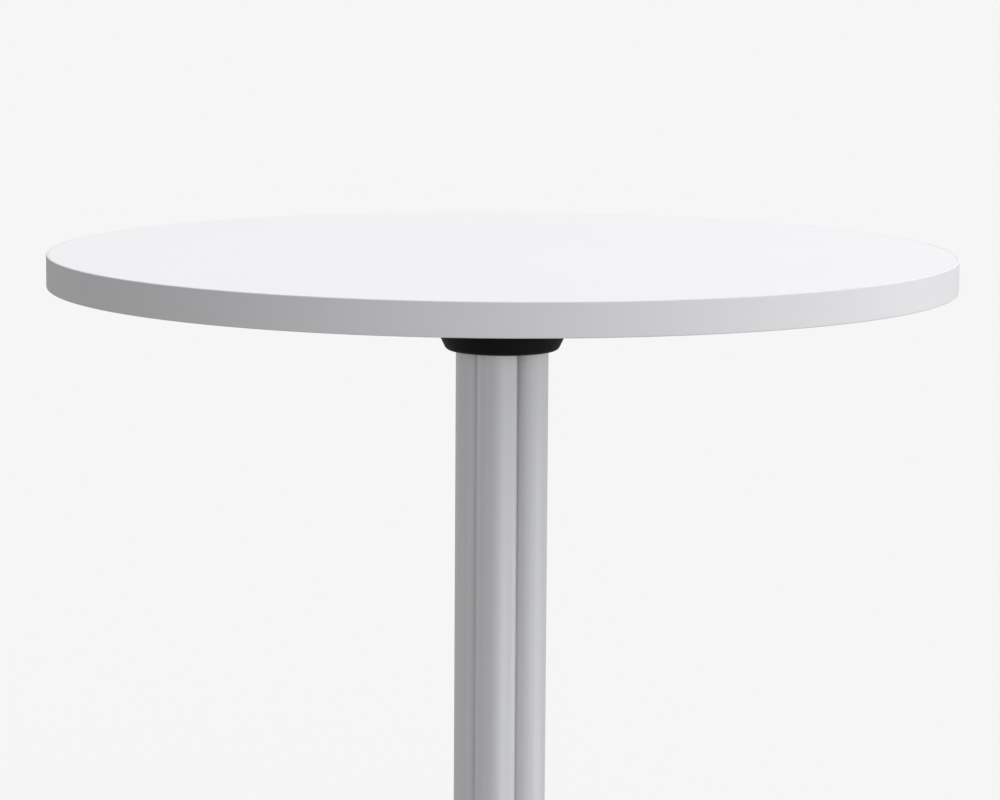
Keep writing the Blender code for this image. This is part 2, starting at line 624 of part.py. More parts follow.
def build_arms(finishes):
    """Four arms with their screws and levelling glides, each in a frame turned about the column."""
    metal, steel = finishes["cast_aluminium"], finishes["zinc_steel"]
    arm = mesh_of(arm_solid(metal))
    screw = mesh_of(arm_screw(steel))
    stem_hole = circle(STEM_RADIUS + FIT_GAP, PAD_STEPS)
    insert = circle(INSERT_RADIUS, PAD_STEPS)
    nut_top = LOCK_NUT_BOTTOM + LOCK_NUT_HEIGHT
    sole = circle(GLIDE_WIDTH / 2 - SOLE_INSET, PAD_STEPS)
    glide = {
        "thread_insert": prism("insert_blank", insert, INSERT_BOTTOM, INSERT_TOP, steel, [stem_hole]),
        "lock_nut": prism("nut_blank", hexagon(HEX_WIDTH), LOCK_NUT_BOTTOM, nut_top, steel, [stem_hole]),
        "glide_stem": stem_solid(steel),
        "glide_pad": pad_solid(finishes["black_plastic"]),
        "glide_sole": prism("sole_blank", sole, 0, SOLE_THICKNESS, finishes["rubber"]),
    }
    glide = {name: mesh_of(made) for name, made in glide.items()}
    for number in range(1, LOBES + 1):
        frame = empty(f"arm_frame_{number}", turn=2 * math.pi * (number - 1) / LOBES)
        axis = empty(f"glide_axis_{number}", frame, (GLIDE_DISTANCE, 0, 0))
        place(f"arm_{number}", arm, frame)
        for level, height in enumerate(arm_screw_heights()):
            placed = place(f"arm_screw_{2 * number - 1 + level}", screw, frame)
            placed.rotation_euler.y = math.pi / 2
            placed.location.z = height
        for name, mesh in glide.items():
            place(f"{name}_{number}", mesh, axis)


def stem_solid(material):
    """The threaded stem, with a hexagon for the spanner and a foot that turns in the pad."""
    foot = PAD_BOTTOM + PAD_FLOOR + SEAT_GAP
    foot_top = PAD_TOP - PAD_LIP - SEAT_GAP
    hex_middle = (HEX_BOTTOM + HEX_TOP) / 2
    ball = [
        (0, foot),
        (BALL_FLAT_RADIUS, foot),
        (BALL_RADIUS, (foot + foot_top) / 2),
        (NECK_RADIUS, foot_top),
        (NECK_RADIUS, hex_middle),
        (0, hex_middle),
    ]
    shank = [
        (0, hex_middle),
        (STEM_RADIUS, hex_middle),
        (STEM_RADIUS, STEM_TOP - STEM_CHAMFER),
        (STEM_RADIUS - STEM_CHAMFER, STEM_TOP),
        (0, STEM_TOP),
    ]
    made = prism("stem_blank", hexagon(HEX_WIDTH), HEX_BOTTOM, HEX_TOP, material)
    combine(made, turned("stem_ball", ball, SMALL_STEPS, material), "UNION")
    combine(made, turned("stem_shank", shank, PAD_STEPS, material), "UNION")
    return made


def pad_solid(material):
    """The round foot plate, hollowed for the stem's foot with a lip that keeps it in."""
    half = GLIDE_WIDTH / 2
    socket = BALL_RADIUS + FIT_GAP
    mouth = NECK_RADIUS + FIT_GAP
    floor = PAD_BOTTOM + PAD_FLOOR
    ceiling = PAD_TOP - PAD_LIP
    profile = [
        (0, PAD_BOTTOM),
        (half, PAD_BOTTOM),
        (half, PAD_BOTTOM + PAD_RIM_HEIGHT),
        (PAD_TOP_RADIUS, PAD_TOP),
        (mouth, PAD_TOP),
        (mouth, ceiling),
        (socket, ceiling),
        (socket, floor),
        (0, floor),
    ]
    return turned("pad_blank", profile, PAD_STEPS, material)


def main():
    clear_scene()
    finishes = {
        "white_laminate": finish("white_laminate", (0.86, 0.86, 0.87), 0.35),
        "white_edging": finish("white_edging", (0.80, 0.80, 0.81), 0.4),
        "chipboard": finish("chipboard", (0.52, 0.38, 0.22), 0.9),
        "black_plastic": finish("black_plastic", (0.012, 0.012, 0.013), 0.45),
        "black_steel": finish("black_steel", (0.015, 0.015, 0.016), 0.5, 0.2),
        "zinc_steel": finish("zinc_steel", (0.62, 0.63, 0.65), 0.35, 1.0),
        "anodised_aluminium": finish("anodised_aluminium", (0.60, 0.61, 0.62), 0.38, 0.9),
        "cast_aluminium": finish("cast_aluminium", (0.56, 0.57, 0.58), 0.42, 0.8),
        "rubber": finish("rubber", (0.02, 0.02, 0.02), 0.9),
    }
    build_top(finishes)
    build_mounting_cross(finishes)
    build_wood_screws(finishes)
    build_collar(finishes)
    build_column(finishes)
    build_tie_rod(finishes)
    build_hub(finishes)
    build_rosette(finishes)
    build_cover(finishes)
    build_arms(finishes)


main()
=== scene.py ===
from math import acos, asin, atan2, cos, pi, radians, sin, sqrt, tan

import bmesh
import bpy
from mathutils import Matrix, Vector


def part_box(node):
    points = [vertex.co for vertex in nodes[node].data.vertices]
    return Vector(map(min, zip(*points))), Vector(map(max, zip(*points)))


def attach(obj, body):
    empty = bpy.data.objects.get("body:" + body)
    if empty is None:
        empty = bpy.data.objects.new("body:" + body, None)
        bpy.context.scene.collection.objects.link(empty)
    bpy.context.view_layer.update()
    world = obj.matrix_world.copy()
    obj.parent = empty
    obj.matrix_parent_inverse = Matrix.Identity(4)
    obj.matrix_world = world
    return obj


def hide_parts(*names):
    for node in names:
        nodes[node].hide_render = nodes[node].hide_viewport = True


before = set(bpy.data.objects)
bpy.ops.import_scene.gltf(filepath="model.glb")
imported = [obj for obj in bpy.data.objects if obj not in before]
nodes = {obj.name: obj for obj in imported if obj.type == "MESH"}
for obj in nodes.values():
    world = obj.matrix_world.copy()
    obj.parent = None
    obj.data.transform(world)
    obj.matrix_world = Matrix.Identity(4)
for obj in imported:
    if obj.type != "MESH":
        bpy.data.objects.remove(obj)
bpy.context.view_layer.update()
scene = bpy.context.scene
print("frame loaded:", len(nodes), "nodes")


def clearSelection():
    if bpy.context.mode != "OBJECT":
        bpy.ops.object.mode_set(mode="OBJECT")
    bpy.ops.object.select_all(action="DESELECT")


def chooseOnly(piece):
    clearSelection()
    piece.select_set(True)
    bpy.context.view_layer.objects.active = piece


def openEdit(piece):
    chooseOnly(piece)
    bpy.ops.object.mode_set(mode="EDIT")


def selectAll():
    bpy.ops.mesh.select_all(action="SELECT")


def pickAll(kind="VERT"):
    bpy.ops.mesh.select_mode(type=kind)
    selectAll()


def openPiece(name):
    # the new primitive gets its name, its place goes into its mesh, and edit mode opens on it
    piece = bpy.context.active_object
    piece.name = piece.data.name = name
    bpy.ops.object.transform_apply(location=True, rotation=True, scale=True)
    bpy.ops.object.mode_set(mode="EDIT")
    pickAll()
    return piece


def pick(piece, kind, test):
    # in edit mode, only the vertices, edges or faces that pass the test are selected
    bpy.ops.mesh.select_mode(type=kind)
    bpy.ops.mesh.select_all(action="DESELECT")
    shape = bmesh.from_edit_mesh(piece.data)
    items = {"VERT": shape.verts, "EDGE": shape.edges, "FACE": shape.faces}[kind]
    for item in items:
        if test(item):
            item.select_set(True)
    shape.select_flush_mode()
    bmesh.update_edit_mesh(piece.data)


def near(a, b, within=2e-5):
    return abs(a - b) < within


def facesUp(z):
    # test for a flat face at height z that looks up
    return lambda face: face.normal.z > 0.99 and near(face.calc_center_median().z, z)


def edgesAt(*levels):
    # test for level edges at any of these heights
    return lambda edge: any(all(near(v.co.z, z) for v in edge.verts) for z in levels)


def rises(edge, least=0.001):
    return abs(edge.verts[0].co.z - edge.verts[1].co.z) > least


def soften(piece, offset, segments, test):
    # bevels the edges that pass the test
    pick(piece, "EDGE", test)
    bpy.ops.mesh.bevel(offset=offset, segments=segments, affect="EDGES")


def pull(*step):
    bpy.ops.mesh.extrude_region_move(TRANSFORM_OT_translate={"value": step})


def weld(within):
    selectAll()
    bpy.ops.mesh.remove_doubles(threshold=within)


def closeUp(piece):
    # merges what meets, turns the faces outwards and leaves edit mode
    weld(1e-6)
    bpy.ops.mesh.normals_make_consistent(inside=False)
    bpy.ops.object.mode_set(mode="OBJECT")
    return piece


def softenRims(piece, levels, offset, segments=3):
    # the level edges at these heights are bevelled all round
    openEdit(piece)
    soften(piece, offset, segments, edgesAt(*levels))
    closeUp(piece)


def softOutline(corners, steps=5):
    # corners of (radius, height, rounding): each rounding becomes a short arc
    points = []
    for i, (radius, height, rounding) in enumerate(corners):
        here = Vector((radius, height))
        if not rounding:
            points.append(here)
            continue
        before = (Vector(corners[i - 1][:2]) - here).normalized()
        after = (Vector(corners[(i + 1) % len(corners)][:2]) - here).normalized()
        half = before.angle(after) / 2
        centre = here + (before + after).normalized() * rounding / sin(half)
        arm = here + before * rounding / tan(half) - centre
        end = here + after * rounding / tan(half) - centre
        way = 1 if arm.x * end.y - arm.y * end.x > 0 else -1
        for k in range(steps + 1):
            angle = way * (pi - 2 * half) * k / steps
            c, s = cos(angle), sin(angle)
            points.append(centre + Vector((arm.x * c - arm.y * s, arm.x * s + arm.y * c)))
    return points


def startPoint(spot, name=None):
    # a plane merged into one vertex, in a new object or in the open one
    if name:
        clearSelection()
        bpy.ops.mesh.primitive_plane_add(size=0.002, location=spot)
        openPiece(name)
    else:
        bpy.ops.mesh.select_mode(type="VERT")
        bpy.ops.mesh.select_all(action="DESELECT")
        bpy.ops.mesh.primitive_plane_add(size=0.002, location=spot)
    bpy.ops.mesh.merge(type="CENTER")
    return bpy.context.active_object


def spinPiece(name, outline, steps):
    # an outline of (radius, height) points drawn from one vertex and spun round Z
    last = outline[0]
    piece = startPoint((last[0], 0, last[1]), name)
    for point in outline[1:]:
        pull(point[0] - last[0], 0, point[1] - last[1])
        last = point
    selectAll()
    bpy.ops.mesh.spin(steps=steps, angle=2 * pi, center=(0, 0, 0), axis=(0, 0, 1))
    return closeUp(piece)


def addRod(name, radius, low, high, spot=(0, 0), sides=48, lying=False):
    # a plain round blank or cutter, standing at a spot or lying along X at height spot[1]
    clearSelection()
    middle = ((low + high) / 2, 0, spot[1]) if lying else (*spot, (low + high) / 2)
    turn = (0, pi / 2, 0) if lying else (0, 0, 0)
    bpy.ops.mesh.primitive_cylinder_add(
        vertices=sides, radius=radius, depth=high - low, location=middle, rotation=turn)
    piece = openPiece(name)
    bpy.ops.object.mode_set(mode="OBJECT")
    return piece


def addBox(name, middle, size):
    clearSelection()
    bpy.ops.mesh.primitive_cube_add(size=1, location=middle, scale=size)
    return openPiece(name)


def turnPiece(piece, degrees, move=(0, 0, 0)):
    chooseOnly(piece)
    piece.matrix_world = Matrix.Rotation(radians(degrees), 4, "Z") @ Matrix.Translation(move)
    bpy.ops.object.transform_apply(location=True, rotation=True, scale=True)
    return piece


def copyPiece(piece, name, degrees=0.0):
    twin = piece.copy()
    twin.data = piece.data.copy()
    twin.name = twin.data.name = name
    scene.collection.objects.link(twin)
    return turnPiece(twin, degrees)


def carve(piece, cutter, operation="DIFFERENCE"):
    # works the cutter into the piece with a Boolean and takes the cutter away
    chooseOnly(piece)
    modifier = piece.modifiers.new("carve", "BOOLEAN")
    modifier.operation = operation
    modifier.solver = "EXACT"
    modifier.object = cutter
    bpy.ops.object.modifier_apply(modifier="carve")
    bpy.data.objects.remove(cutter, do_unlink=True)
    return piece


def drill(piece, *rod, **how):
    carve(piece, addRod("cutter", *rod, **how))


# how far a cutter passes the face it cuts, and the same where there is less room
past, justPast = 0.002, 0.001
# where the two dowel pins stand along X
dowelSpots = (-0.016, 0.016)


def sideOf(name):
    # how far the node reaches along X
    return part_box(name)[1].x


def middleOf(name):
    return tuple((a + b) / 2 for a, b in zip(*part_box(name)))


def dress(piece, finish, slot, *replaced, body="table", angle=32):
    # finish, smooth shading, the body it moves with and the node it stands for
    chooseOnly(piece)
    bpy.ops.object.shade_smooth_by_angle(angle=radians(angle))
    # broad faces keep their own normals beside small bevels
    bpy.ops.object.modifier_add(type="WEIGHTED_NORMAL")
    piece.modifiers[-1].keep_sharp = True
    bpy.ops.object.modifier_apply(modifier=piece.modifiers[-1].name)
    piece.data.materials.clear()
    piece.data.materials.append(made[finish])
    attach(piece, body)
    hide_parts(*replaced)


def newGroup(name, outputs, **inputs):
    # an input with no value is a vector, the others are numbers
    tree = bpy.data.node_groups.new(name, "ShaderNodeTree")
    for label, value in inputs.items():
        kind = "NodeSocketVector" if value is None else "NodeSocketFloat"
        socket = tree.interface.new_socket(name=label, in_out="INPUT", socket_type=kind)
        if value is not None:
            socket.default_value = value
    for label in outputs:
        tree.interface.new_socket(name=label, in_out="OUTPUT", socket_type="NodeSocketFloat")
    return tree, tree.nodes.new("NodeGroupInput").outputs, tree.nodes.new("NodeGroupOutput").inputs


def feed(tree, value, socket):
    if hasattr(value, "links"):
        tree.links.new(value, socket)
    else:
        socket.default_value = value


def addNode(tree, kind, settings=None, **inputs):
    # inputs go by their names, or i0, i1 and so on where names repeat
    node = tree.nodes.new("ShaderNode" + kind)
    for key, value in (settings or {}).items():
        setattr(node, key, value)
    for key, value in inputs.items():
        numbered = key[0] == "i" and key[1:].isdigit()
        feed(tree, value, node.inputs[int(key[1:]) if numbered else key])
    return node


def remap(tree, value, low, high, newLow=0.0, newHigh=1.0, curve="LINEAR"):
    return addNode(tree, "MapRange", {"interpolation_type": curve},
                   i0=value, i1=low, i2=high, i3=newLow, i4=newHigh).outputs[0]


def noiseAt(tree, place, scale, detail, roughness=0.5):
    return addNode(tree, "TexNoise", Vector=place, Scale=scale, Detail=detail,
                   Roughness=roughness).outputs["Fac"]


def compute(tree, operation, clamp, *values):
    inputs = {f"i{k}": value for k, value in enumerate(values)}
    return addNode(tree, "Math", {"operation": operation, "use_clamp": clamp}, **inputs).outputs[0]


# what all finishes share; a pair is the span that becomes 0 to 1
effects = {
    "noiseSpan": (0.3, 0.7),
    "turnSpan": (0.995, 0.85),  # match of sharp and rounded normals where wear starts and is full
    "patchSpan": (0.42, 0.62), "wearBreakup": 160.0, "upwardSpan": (0.3, 1.0),
    "cloudScale": 14.0, "cloudSpan": (0.35, 0.75), "cloudLeast": 0.2,
    "dustColour": (0.62, 0.60, 0.57),
    "dustDulling": 0.4,  # roughness that full dust adds
    "smudge": 0.04,  # roughness that the drifts add
    "speckSpan": (0.62, 0.72),
    "grooveShadeSpan": (0.85, 0.25),  # how open a groove is where its painted shade starts and is full
}


def makeGrain():
    # a fine noise turned into a value between Low and High, with the same noise as a height
    tree, start, end = newGroup("fineGrain", ("Value", "Height"), Vector=None, Scale=500.0,
                                Detail=3.0, Low=0.3, High=0.5)
    noise = noiseAt(tree, start["Vector"], start["Scale"], start["Detail"], 0.55)
    value = remap(tree, noise, *effects["noiseSpan"], start["Low"], start["High"])
    feed(tree, value, end["Value"])
    feed(tree, noise, end["Height"])
    return tree


def makeEdgeWear():
    # where the surface turns sharply, broken up by a noise
    tree, start, end = newGroup("edgeWear", ("Mask",), Vector=None, Radius=0.0006,
                                Breakup=220.0, Amount=0.5)
    rounded = addNode(tree, "Bevel", {"samples": 4}, Radius=start["Radius"])
    plain = addNode(tree, "NewGeometry")
    match = addNode(tree, "VectorMath", {"operation": "DOT_PRODUCT"},
                    i0=rounded.outputs["Normal"], i1=plain.outputs["Normal"])
    turned = remap(tree, match.outputs["Value"], *effects["turnSpan"])
    noise = noiseAt(tree, start["Vector"], start["Breakup"], 4.0, 0.6)
    patchy = remap(tree, noise, *effects["patchSpan"])
    both = compute(tree, "MULTIPLY", False, turned, patchy)
    feed(tree, compute(tree, "MULTIPLY", True, both, start["Amount"]), end["Mask"])
    return tree


def makeDust():
    # a thin veil on what faces up
    tree, start, end = newGroup("settledDust", ("Mask",), Vector=None, Amount=0.1)
    surface = addNode(tree, "NewGeometry")
    parts = addNode(tree, "SeparateXYZ", i0=surface.outputs["Normal"])
    upward = remap(tree, parts.outputs["Z"], *effects["upwardSpan"])
    cloud = noiseAt(tree, start["Vector"], effects["cloudScale"], 6.0, 0.65)
    thin = remap(tree, cloud, *effects["cloudSpan"], effects["cloudLeast"])
    both = compute(tree, "MULTIPLY", False, upward, thin)
    feed(tree, compute(tree, "MULTIPLY", True, both, start["Amount"]), end["Mask"])
    return tree


fineGrain, edgeWear, settledDust = makeGrain(), makeEdgeWear(), makeDust()


def placeGroup(tree, group, **inputs):
    node = tree.nodes.new("ShaderNodeGroup")
    node.node_tree = group
    for key, value in inputs.items():
        feed(tree, value, node.inputs[key])
    return node.outputs


def mixColours(tree, amount, first, second):
    node = tree.nodes.new("ShaderNodeMix")
    node.data_type = "RGBA"
    feed(tree, amount, node.inputs[0])
    for socket, value in ((node.inputs[6], first), (node.inputs[7], second)):
        feed(tree, value if hasattr(value, "links") else (*value, 1.0), socket)
    return node.outputs[2]


def mapped(tree, scale):
    place = addNode(tree, "TexCoord")
    mapping = addNode(tree, "Mapping", Vector=place.outputs["Object"])
    mapping.inputs["Scale"].default_value = scale
    return mapping.outputs["Vector"]


def newMaterial(name):
    material = bpy.data.materials.new(name)
    material.use_nodes = True
    return material, material.node_tree


def makeFinish(name, look):
    # two tones in slow drifts, a fine grain in roughness and bump, specks, worn edges, dust, and
    # painted shade in the grooves where the look asks for it
    look = {**usualLook, **look}
    material, tree = newMaterial(name)
    shader = tree.nodes["Principled BSDF"].inputs
    slow = mapped(tree, look["driftStretch"])
    fine = mapped(tree, look["grainStretch"])
    drift = placeGroup(tree, fineGrain, Vector=slow, Scale=look["drift"], Detail=4.0,
                       Low=0.0, High=1.0)["Value"]
    grain = placeGroup(tree, fineGrain, Vector=fine, Scale=look["grain"], Detail=2.5,
                       Low=look["roughness"][0], High=look["roughness"][1])
    wear = placeGroup(tree, edgeWear, Vector=slow, Radius=look["wearRadius"],
                      Breakup=effects["wearBreakup"], Amount=look["wear"])["Mask"]
    dust = placeGroup(tree, settledDust, Vector=slow, Amount=look["dust"])["Mask"]
    colour = mixColours(tree, drift, look["colour"], look["second"])
    if "speck" in look:
        specks = noiseAt(tree, fine, look["speckScale"], 1.0)
        rare = remap(tree, specks, *effects["speckSpan"], 0.0, look["speckAmount"])
        colour = mixColours(tree, rare, colour, look["speck"])
    colour = mixColours(tree, wear, colour, look["worn"])
    if "groove" in look:
        # handling marks gather in the grooves
        # painted shade: the colour darkens where ambient occlusion finds a groove, standing in for
        # the shade that falls there
        grooveOcclusion = addNode(tree, "AmbientOcclusion", {"samples": 6}, Distance=look["grooveShadeReach"])
        depth = remap(tree, grooveOcclusion.outputs["AO"], *effects["grooveShadeSpan"])
        colour = mixColours(tree, depth, colour, look["groove"])
    feed(tree, mixColours(tree, dust, colour, effects["dustColour"]), shader["Base Color"])
    rough = compute(tree, "MULTIPLY_ADD", False, drift, effects["smudge"], grain["Value"])
    rough = compute(tree, "MULTIPLY_ADD", True, dust, effects["dustDulling"], rough)
    feed(tree, rough, shader["Roughness"])
    shader["Metallic"].default_value = look["metallic"]
    if "specular" in look:
        shader["Specular IOR Level"].default_value = look["specular"]
    bump = addNode(tree, "Bump", Strength=look["bump"], Distance=look["bumpDepth"],
                   Height=grain["Height"])
    feed(tree, bump.outputs["Normal"], shader["Normal"])
    return material


# every finish in one place: colours are linear, depths in metres
usualLook = {"driftStretch": (1, 1, 1), "grainStretch": (1, 1, 1), "wearRadius": 0.0008,
             "metallic": 0.0}
finishes = {
    "whiteLaminate": {
        "colour": (0.845, 0.842, 0.862), "second": (0.870, 0.866, 0.884), "drift": 3.0,
        "grain": 1500.0, "roughness": (0.30, 0.40), "bump": 0.10, "bumpDepth": 0.00006,
        "speck": (0.78, 0.78, 0.80), "speckScale": 900.0, "speckAmount": 0.25,
        "worn": (0.74, 0.74, 0.75), "wearRadius": 0.0004, "wear": 0.3, "dust": 0.02},
    "whiteEdging": {
        "colour": (0.800, 0.795, 0.815), "second": (0.825, 0.820, 0.840), "drift": 6.0,
        "grain": 380.0, "grainStretch": (1, 1, 9), "roughness": (0.38, 0.48), "bump": 0.12,
        "bumpDepth": 0.00005, "worn": (0.88, 0.88, 0.89), "wear": 0.35, "dust": 0.03},
    "anodisedColumn": {
        "colour": (0.860, 0.866, 0.882), "second": (0.935, 0.941, 0.957), "drift": 3.0,
        "driftStretch": (80, 80, 0.12), "grain": 520.0, "grainStretch": (1, 1, 0.006),
        "roughness": (0.34, 0.46), "bump": 0.30, "bumpDepth": 0.00006, "metallic": 0.75,
        "worn": (0.88, 0.88, 0.89), "wearRadius": 0.0006, "wear": 0.35,
        # groove: painted shade that darkens the grooves between the lobes
        "groove": (0.66, 0.66, 0.66), "grooveShadeReach": 0.010, "dust": 0.05},
    "castSilver": {
        "colour": (0.560, 0.565, 0.575), "second": (0.610, 0.615, 0.625), "drift": 9.0,
        "grain": 850.0, "roughness": (0.38, 0.52), "bump": 0.35, "bumpDepth": 0.00012,
        "speck": (0.75, 0.76, 0.78), "speckScale": 2600.0, "speckAmount": 0.55, "metallic": 0.8,
        "worn": (0.80, 0.80, 0.80), "wearRadius": 0.0009, "wear": 0.45, "dust": 0.08},
    "blackMoulding": {
        "colour": (0.0045, 0.0045, 0.0050), "second": (0.0065, 0.0065, 0.0070),
        "specular": 0.12, "drift": 18.0, "grain": 1500.0, "roughness": (0.40, 0.54),
        "bump": 0.30, "bumpDepth": 0.00008, "worn": (0.05, 0.05, 0.052), "wear": 0.35,
        "dust": 0.03},
    "blackPowderCoat": {
        "colour": (0.013, 0.013, 0.014), "second": (0.018, 0.018, 0.019), "drift": 14.0,
        "grain": 950.0, "roughness": (0.42, 0.60), "bump": 0.45, "bumpDepth": 0.00014,
        "speck": (0.05, 0.05, 0.052), "speckScale": 1700.0, "speckAmount": 0.5, "metallic": 0.15,
        "worn": (0.20, 0.20, 0.20), "wearRadius": 0.0007, "wear": 0.3, "dust": 0.04},
    "zincPlate": {
        "colour": (0.60, 0.61, 0.64), "second": (0.66, 0.65, 0.60), "drift": 130.0,
        "grain": 1100.0, "roughness": (0.24, 0.42), "bump": 0.20, "bumpDepth": 0.00004,
        "worn": (0.42, 0.41, 0.40), "wearRadius": 0.0004, "wear": 0.4, "metallic": 1.0,
        "dust": 0.05},
    "glideRubber": {
        "colour": (0.018, 0.018, 0.018), "second": (0.028, 0.027, 0.026), "drift": 60.0,
        "grain": 1300.0, "roughness": (0.75, 0.92), "bump": 0.5, "bumpDepth": 0.00014,
        "worn": (0.07, 0.068, 0.065), "wear": 0.5, "dust": 0.1},
    "chipboard": {
        "colour": (0.50, 0.36, 0.20), "second": (0.62, 0.46, 0.28), "drift": 160.0,
        "driftStretch": (1, 1, 3), "grain": 520.0, "grainStretch": (1, 1, 2.5),
        "roughness": (0.80, 0.95), "bump": 0.6, "bumpDepth": 0.0004,
        "speck": (0.24, 0.14, 0.07), "speckScale": 300.0, "speckAmount": 0.8,
        "worn": (0.66, 0.52, 0.34), "wear": 0.4, "dust": 0.0},
}
made = {name: makeFinish(name, look) for name, look in finishes.items()}
print("finishes made:", ", ".join(made))

topSizes = {
    "sides": 288, "bandWidth": 0.002,
    "bandRounding": 0.0008,  # both outer arrises of the edging
    "joint": 0.00004,  # hairline between laminate and edging
    "laminateEdge": 0.00012,
    "rimInset": 0.012,  # a ring of faces that keeps the sheet's shading even
    "screwHole": 0.0028,
}


def makeEdging():
    low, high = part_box("edge_band")
    radius = high.x
    piece = addRod("edging_strip", radius, low.z, high.z, sides=topSizes["sides"])
    openEdit(piece)
    pick(piece, "FACE", lambda face: abs(face.normal.z) > 0.9)
    bpy.ops.mesh.inset(thickness=topSizes["bandWidth"])
    bpy.ops.mesh.delete(type="ONLY_FACE")
    inner = radius - topSizes["bandWidth"] * 0.5
    pick(piece, "EDGE", lambda edge: all(v.co.xy.length < inner for v in edge.verts))
    bpy.ops.mesh.bridge_edge_loops()
    soften(piece, topSizes["bandRounding"], 6,
           lambda edge: all(v.co.xy.length > inner for v in edge.verts)
           and near(edge.verts[0].co.z, edge.verts[1].co.z))
    closeUp(piece)
    dress(piece, "whiteEdging", "white_edging", "edge_band", angle=40)


def layLaminate(name, node, holes=()):
    low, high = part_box(node)
    band = sideOf("edge_band") - topSizes["bandWidth"] - topSizes["joint"]
    piece = addRod(name, band, low.z, high.z, sides=topSizes["sides"])
    openEdit(piece)
    soften(piece, topSizes["laminateEdge"], 2, edgesAt(low.z, high.z))
    pick(piece, "FACE", lambda face: abs(face.normal.z) > 0.99 and face.calc_area() > 0.1)
    bpy.ops.mesh.inset(thickness=topSizes["rimInset"])
    closeUp(piece)
    for x, y in holes:
        drill(piece, topSizes["screwHole"], low.z - justPast, high.z + justPast, (x, y), 24)
    dress(piece, "whiteLaminate", "white_laminate", node)


screwSpots = [middleOf(f"wood_screw_{n}")[:2] for n in range(1, 9)]

makeEdging()
layLaminate("top_sheet", "top_laminate")
layLaminate("backing_sheet", "backing_laminate", screwSpots)
print("table top made")

columnSizes = {
    "lobeSpan": 225.0,  # degrees of each lobe's round outside
    "lobeSteps": 40, "wall": 0.0022, "web": 0.0022, "bore": 0.0056, "tube": 0.0078,
    "grooveRounding": 0.00035, "chamberSteps": 28, "tubeSteps": 8, "boreSteps": 32,
    "fit": 0.0003,  # play round the column in what it stands in
}


def diagonalReach(offset, radius, aside=0.0):
    # how far a lobe's circle reaches along the diagonal, or along a line beside it
    across = offset * sin(pi / 4) - aside
    return offset * cos(pi / 4) + sqrt(radius**2 - across**2)


def lobeCircle(margin=0.0):
    # (distance of a lobe's middle from the axis, its radius, half the angle it spans)
    width = sideOf("column")
    half = radians(columnSizes["lobeSpan"] / 2)
    ratio = sin(half) / tan(pi / 4) - cos(half)
    radius = width / (1 + ratio)
    offset = width - radius
    radius += margin
    groove = diagonalReach(offset, radius)
    end = atan2(groove * sin(pi / 4), groove * cos(pi / 4) - offset)
    return offset, radius, end


quarters = [side * pi / 2 for side in range(4)]


def onCircle(centre, radius, angle, height):
    return Vector((centre[0] + radius * cos(angle), centre[1] + radius * sin(angle), height))


def drawArc(centre, radius, start, end, steps, height, name=None):
    # one vertex spun into an arc in the level plane, in a new object or in the open one
    startPoint(onCircle(centre, radius, start, height), name)
    # with no window, spin turns the other way
    bpy.ops.mesh.spin(steps=steps, angle=start - end, center=(*centre, height), axis=(0, 0, 1))


def joinEnds(piece, ends, within):
    pick(piece, "VERT", lambda v: any((v.co - end).length < within for end in ends))
    bpy.ops.mesh.edge_face_add()


def drawClover(name, height, margin=0.0):
    # the four lobes' outline as edges in edit mode
    offset, radius, end = lobeCircle(margin)
    for turn in quarters:
        centre = (offset * cos(turn), offset * sin(turn))
        drawArc(centre, radius, turn - end, turn + end, columnSizes["lobeSteps"], height,
                name if turn == 0 else None)
    weld(2e-6)
    return bpy.context.active_object


def cloverCutter(low, high):
    cutter = drawClover("cutter", low, columnSizes["fit"])
    bpy.ops.mesh.edge_face_add()
    pull(0, 0, high - low)
    return closeUp(cutter)


def makeColumn():
    low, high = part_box("column")
    piece = drawClover("column_profile", low.z)
    size = columnSizes
    # the four chambers and the rod's bore
    offset, radius = lobeCircle()[:2]
    inner = radius - size["wall"]
    halfWeb = size["web"] / 2
    corner = Vector((diagonalReach(offset, inner, halfWeb), -halfWeb))
    corner.rotate(Matrix.Rotation(pi / 4, 2))
    outerEnd = atan2(corner.y, corner.x - offset)
    innerEnd = pi / 4 - asin(halfWeb / size["tube"])
    for turn in quarters:
        centre = (offset * cos(turn), offset * sin(turn))
        drawArc(centre, inner, turn - outerEnd, turn + outerEnd, size["chamberSteps"], low.z)
        drawArc((0, 0), size["tube"], turn - innerEnd, turn + innerEnd, size["tubeSteps"], low.z)
        for sign in (-1, 1):
            ends = (onCircle(centre, inner, turn + sign * outerEnd, low.z),
                    onCircle((0, 0), size["tube"], turn + sign * innerEnd, low.z))
            joinEnds(piece, ends, 2e-6)
    bpy.ops.mesh.select_all(action="DESELECT")
    drawArc((0, 0), size["bore"], 0, 2 * pi, size["boreSteps"], low.z)
    weld(2e-6)
    selectAll()
    bpy.ops.mesh.fill(use_beauty=True)
    pull(0, 0, high.z - low.z)
    selectAll()
    bpy.ops.mesh.normals_make_consistent(inside=False)
    # a small rounding at the bottom of each groove
    groove = diagonalReach(offset, radius)
    soften(piece, size["grooveRounding"], 3,
           lambda edge: rises(edge, 0.1)
           and near(edge.verts[0].co.xy.length, groove, 1e-4)
           and near(abs(edge.verts[0].co.x), abs(edge.verts[0].co.y), 1e-4))
    closeUp(piece)
    dress(piece, "anodisedColumn", "anodised_aluminium", "column", angle=30)


makeColumn()
print("column made")

collarSizes = {
    "steps": 192,
    "lift": 0.0017,  # its underside sits this much higher than the moulding's own seat
    "ledge": 0.004,  # flat ring round the column
    "corner": 0.005, "cornerSteps": 8,
    "flare": 0.021,  # how far the wall leans out
    "rimHeight": 0.004, "rimRounding": 0.004, "rimEdge": 0.0008, "lipEdge": 0.0004,
    "wall": 0.003, "floor": 0.006, "innerRounding": 0.002, "recess": 0.003, "bore": 0.0056,
    "notch": 0.0183, "notchDepth": 0.0063, "dowelHole": 0.0028, "dowelDepth": 0.01,
}


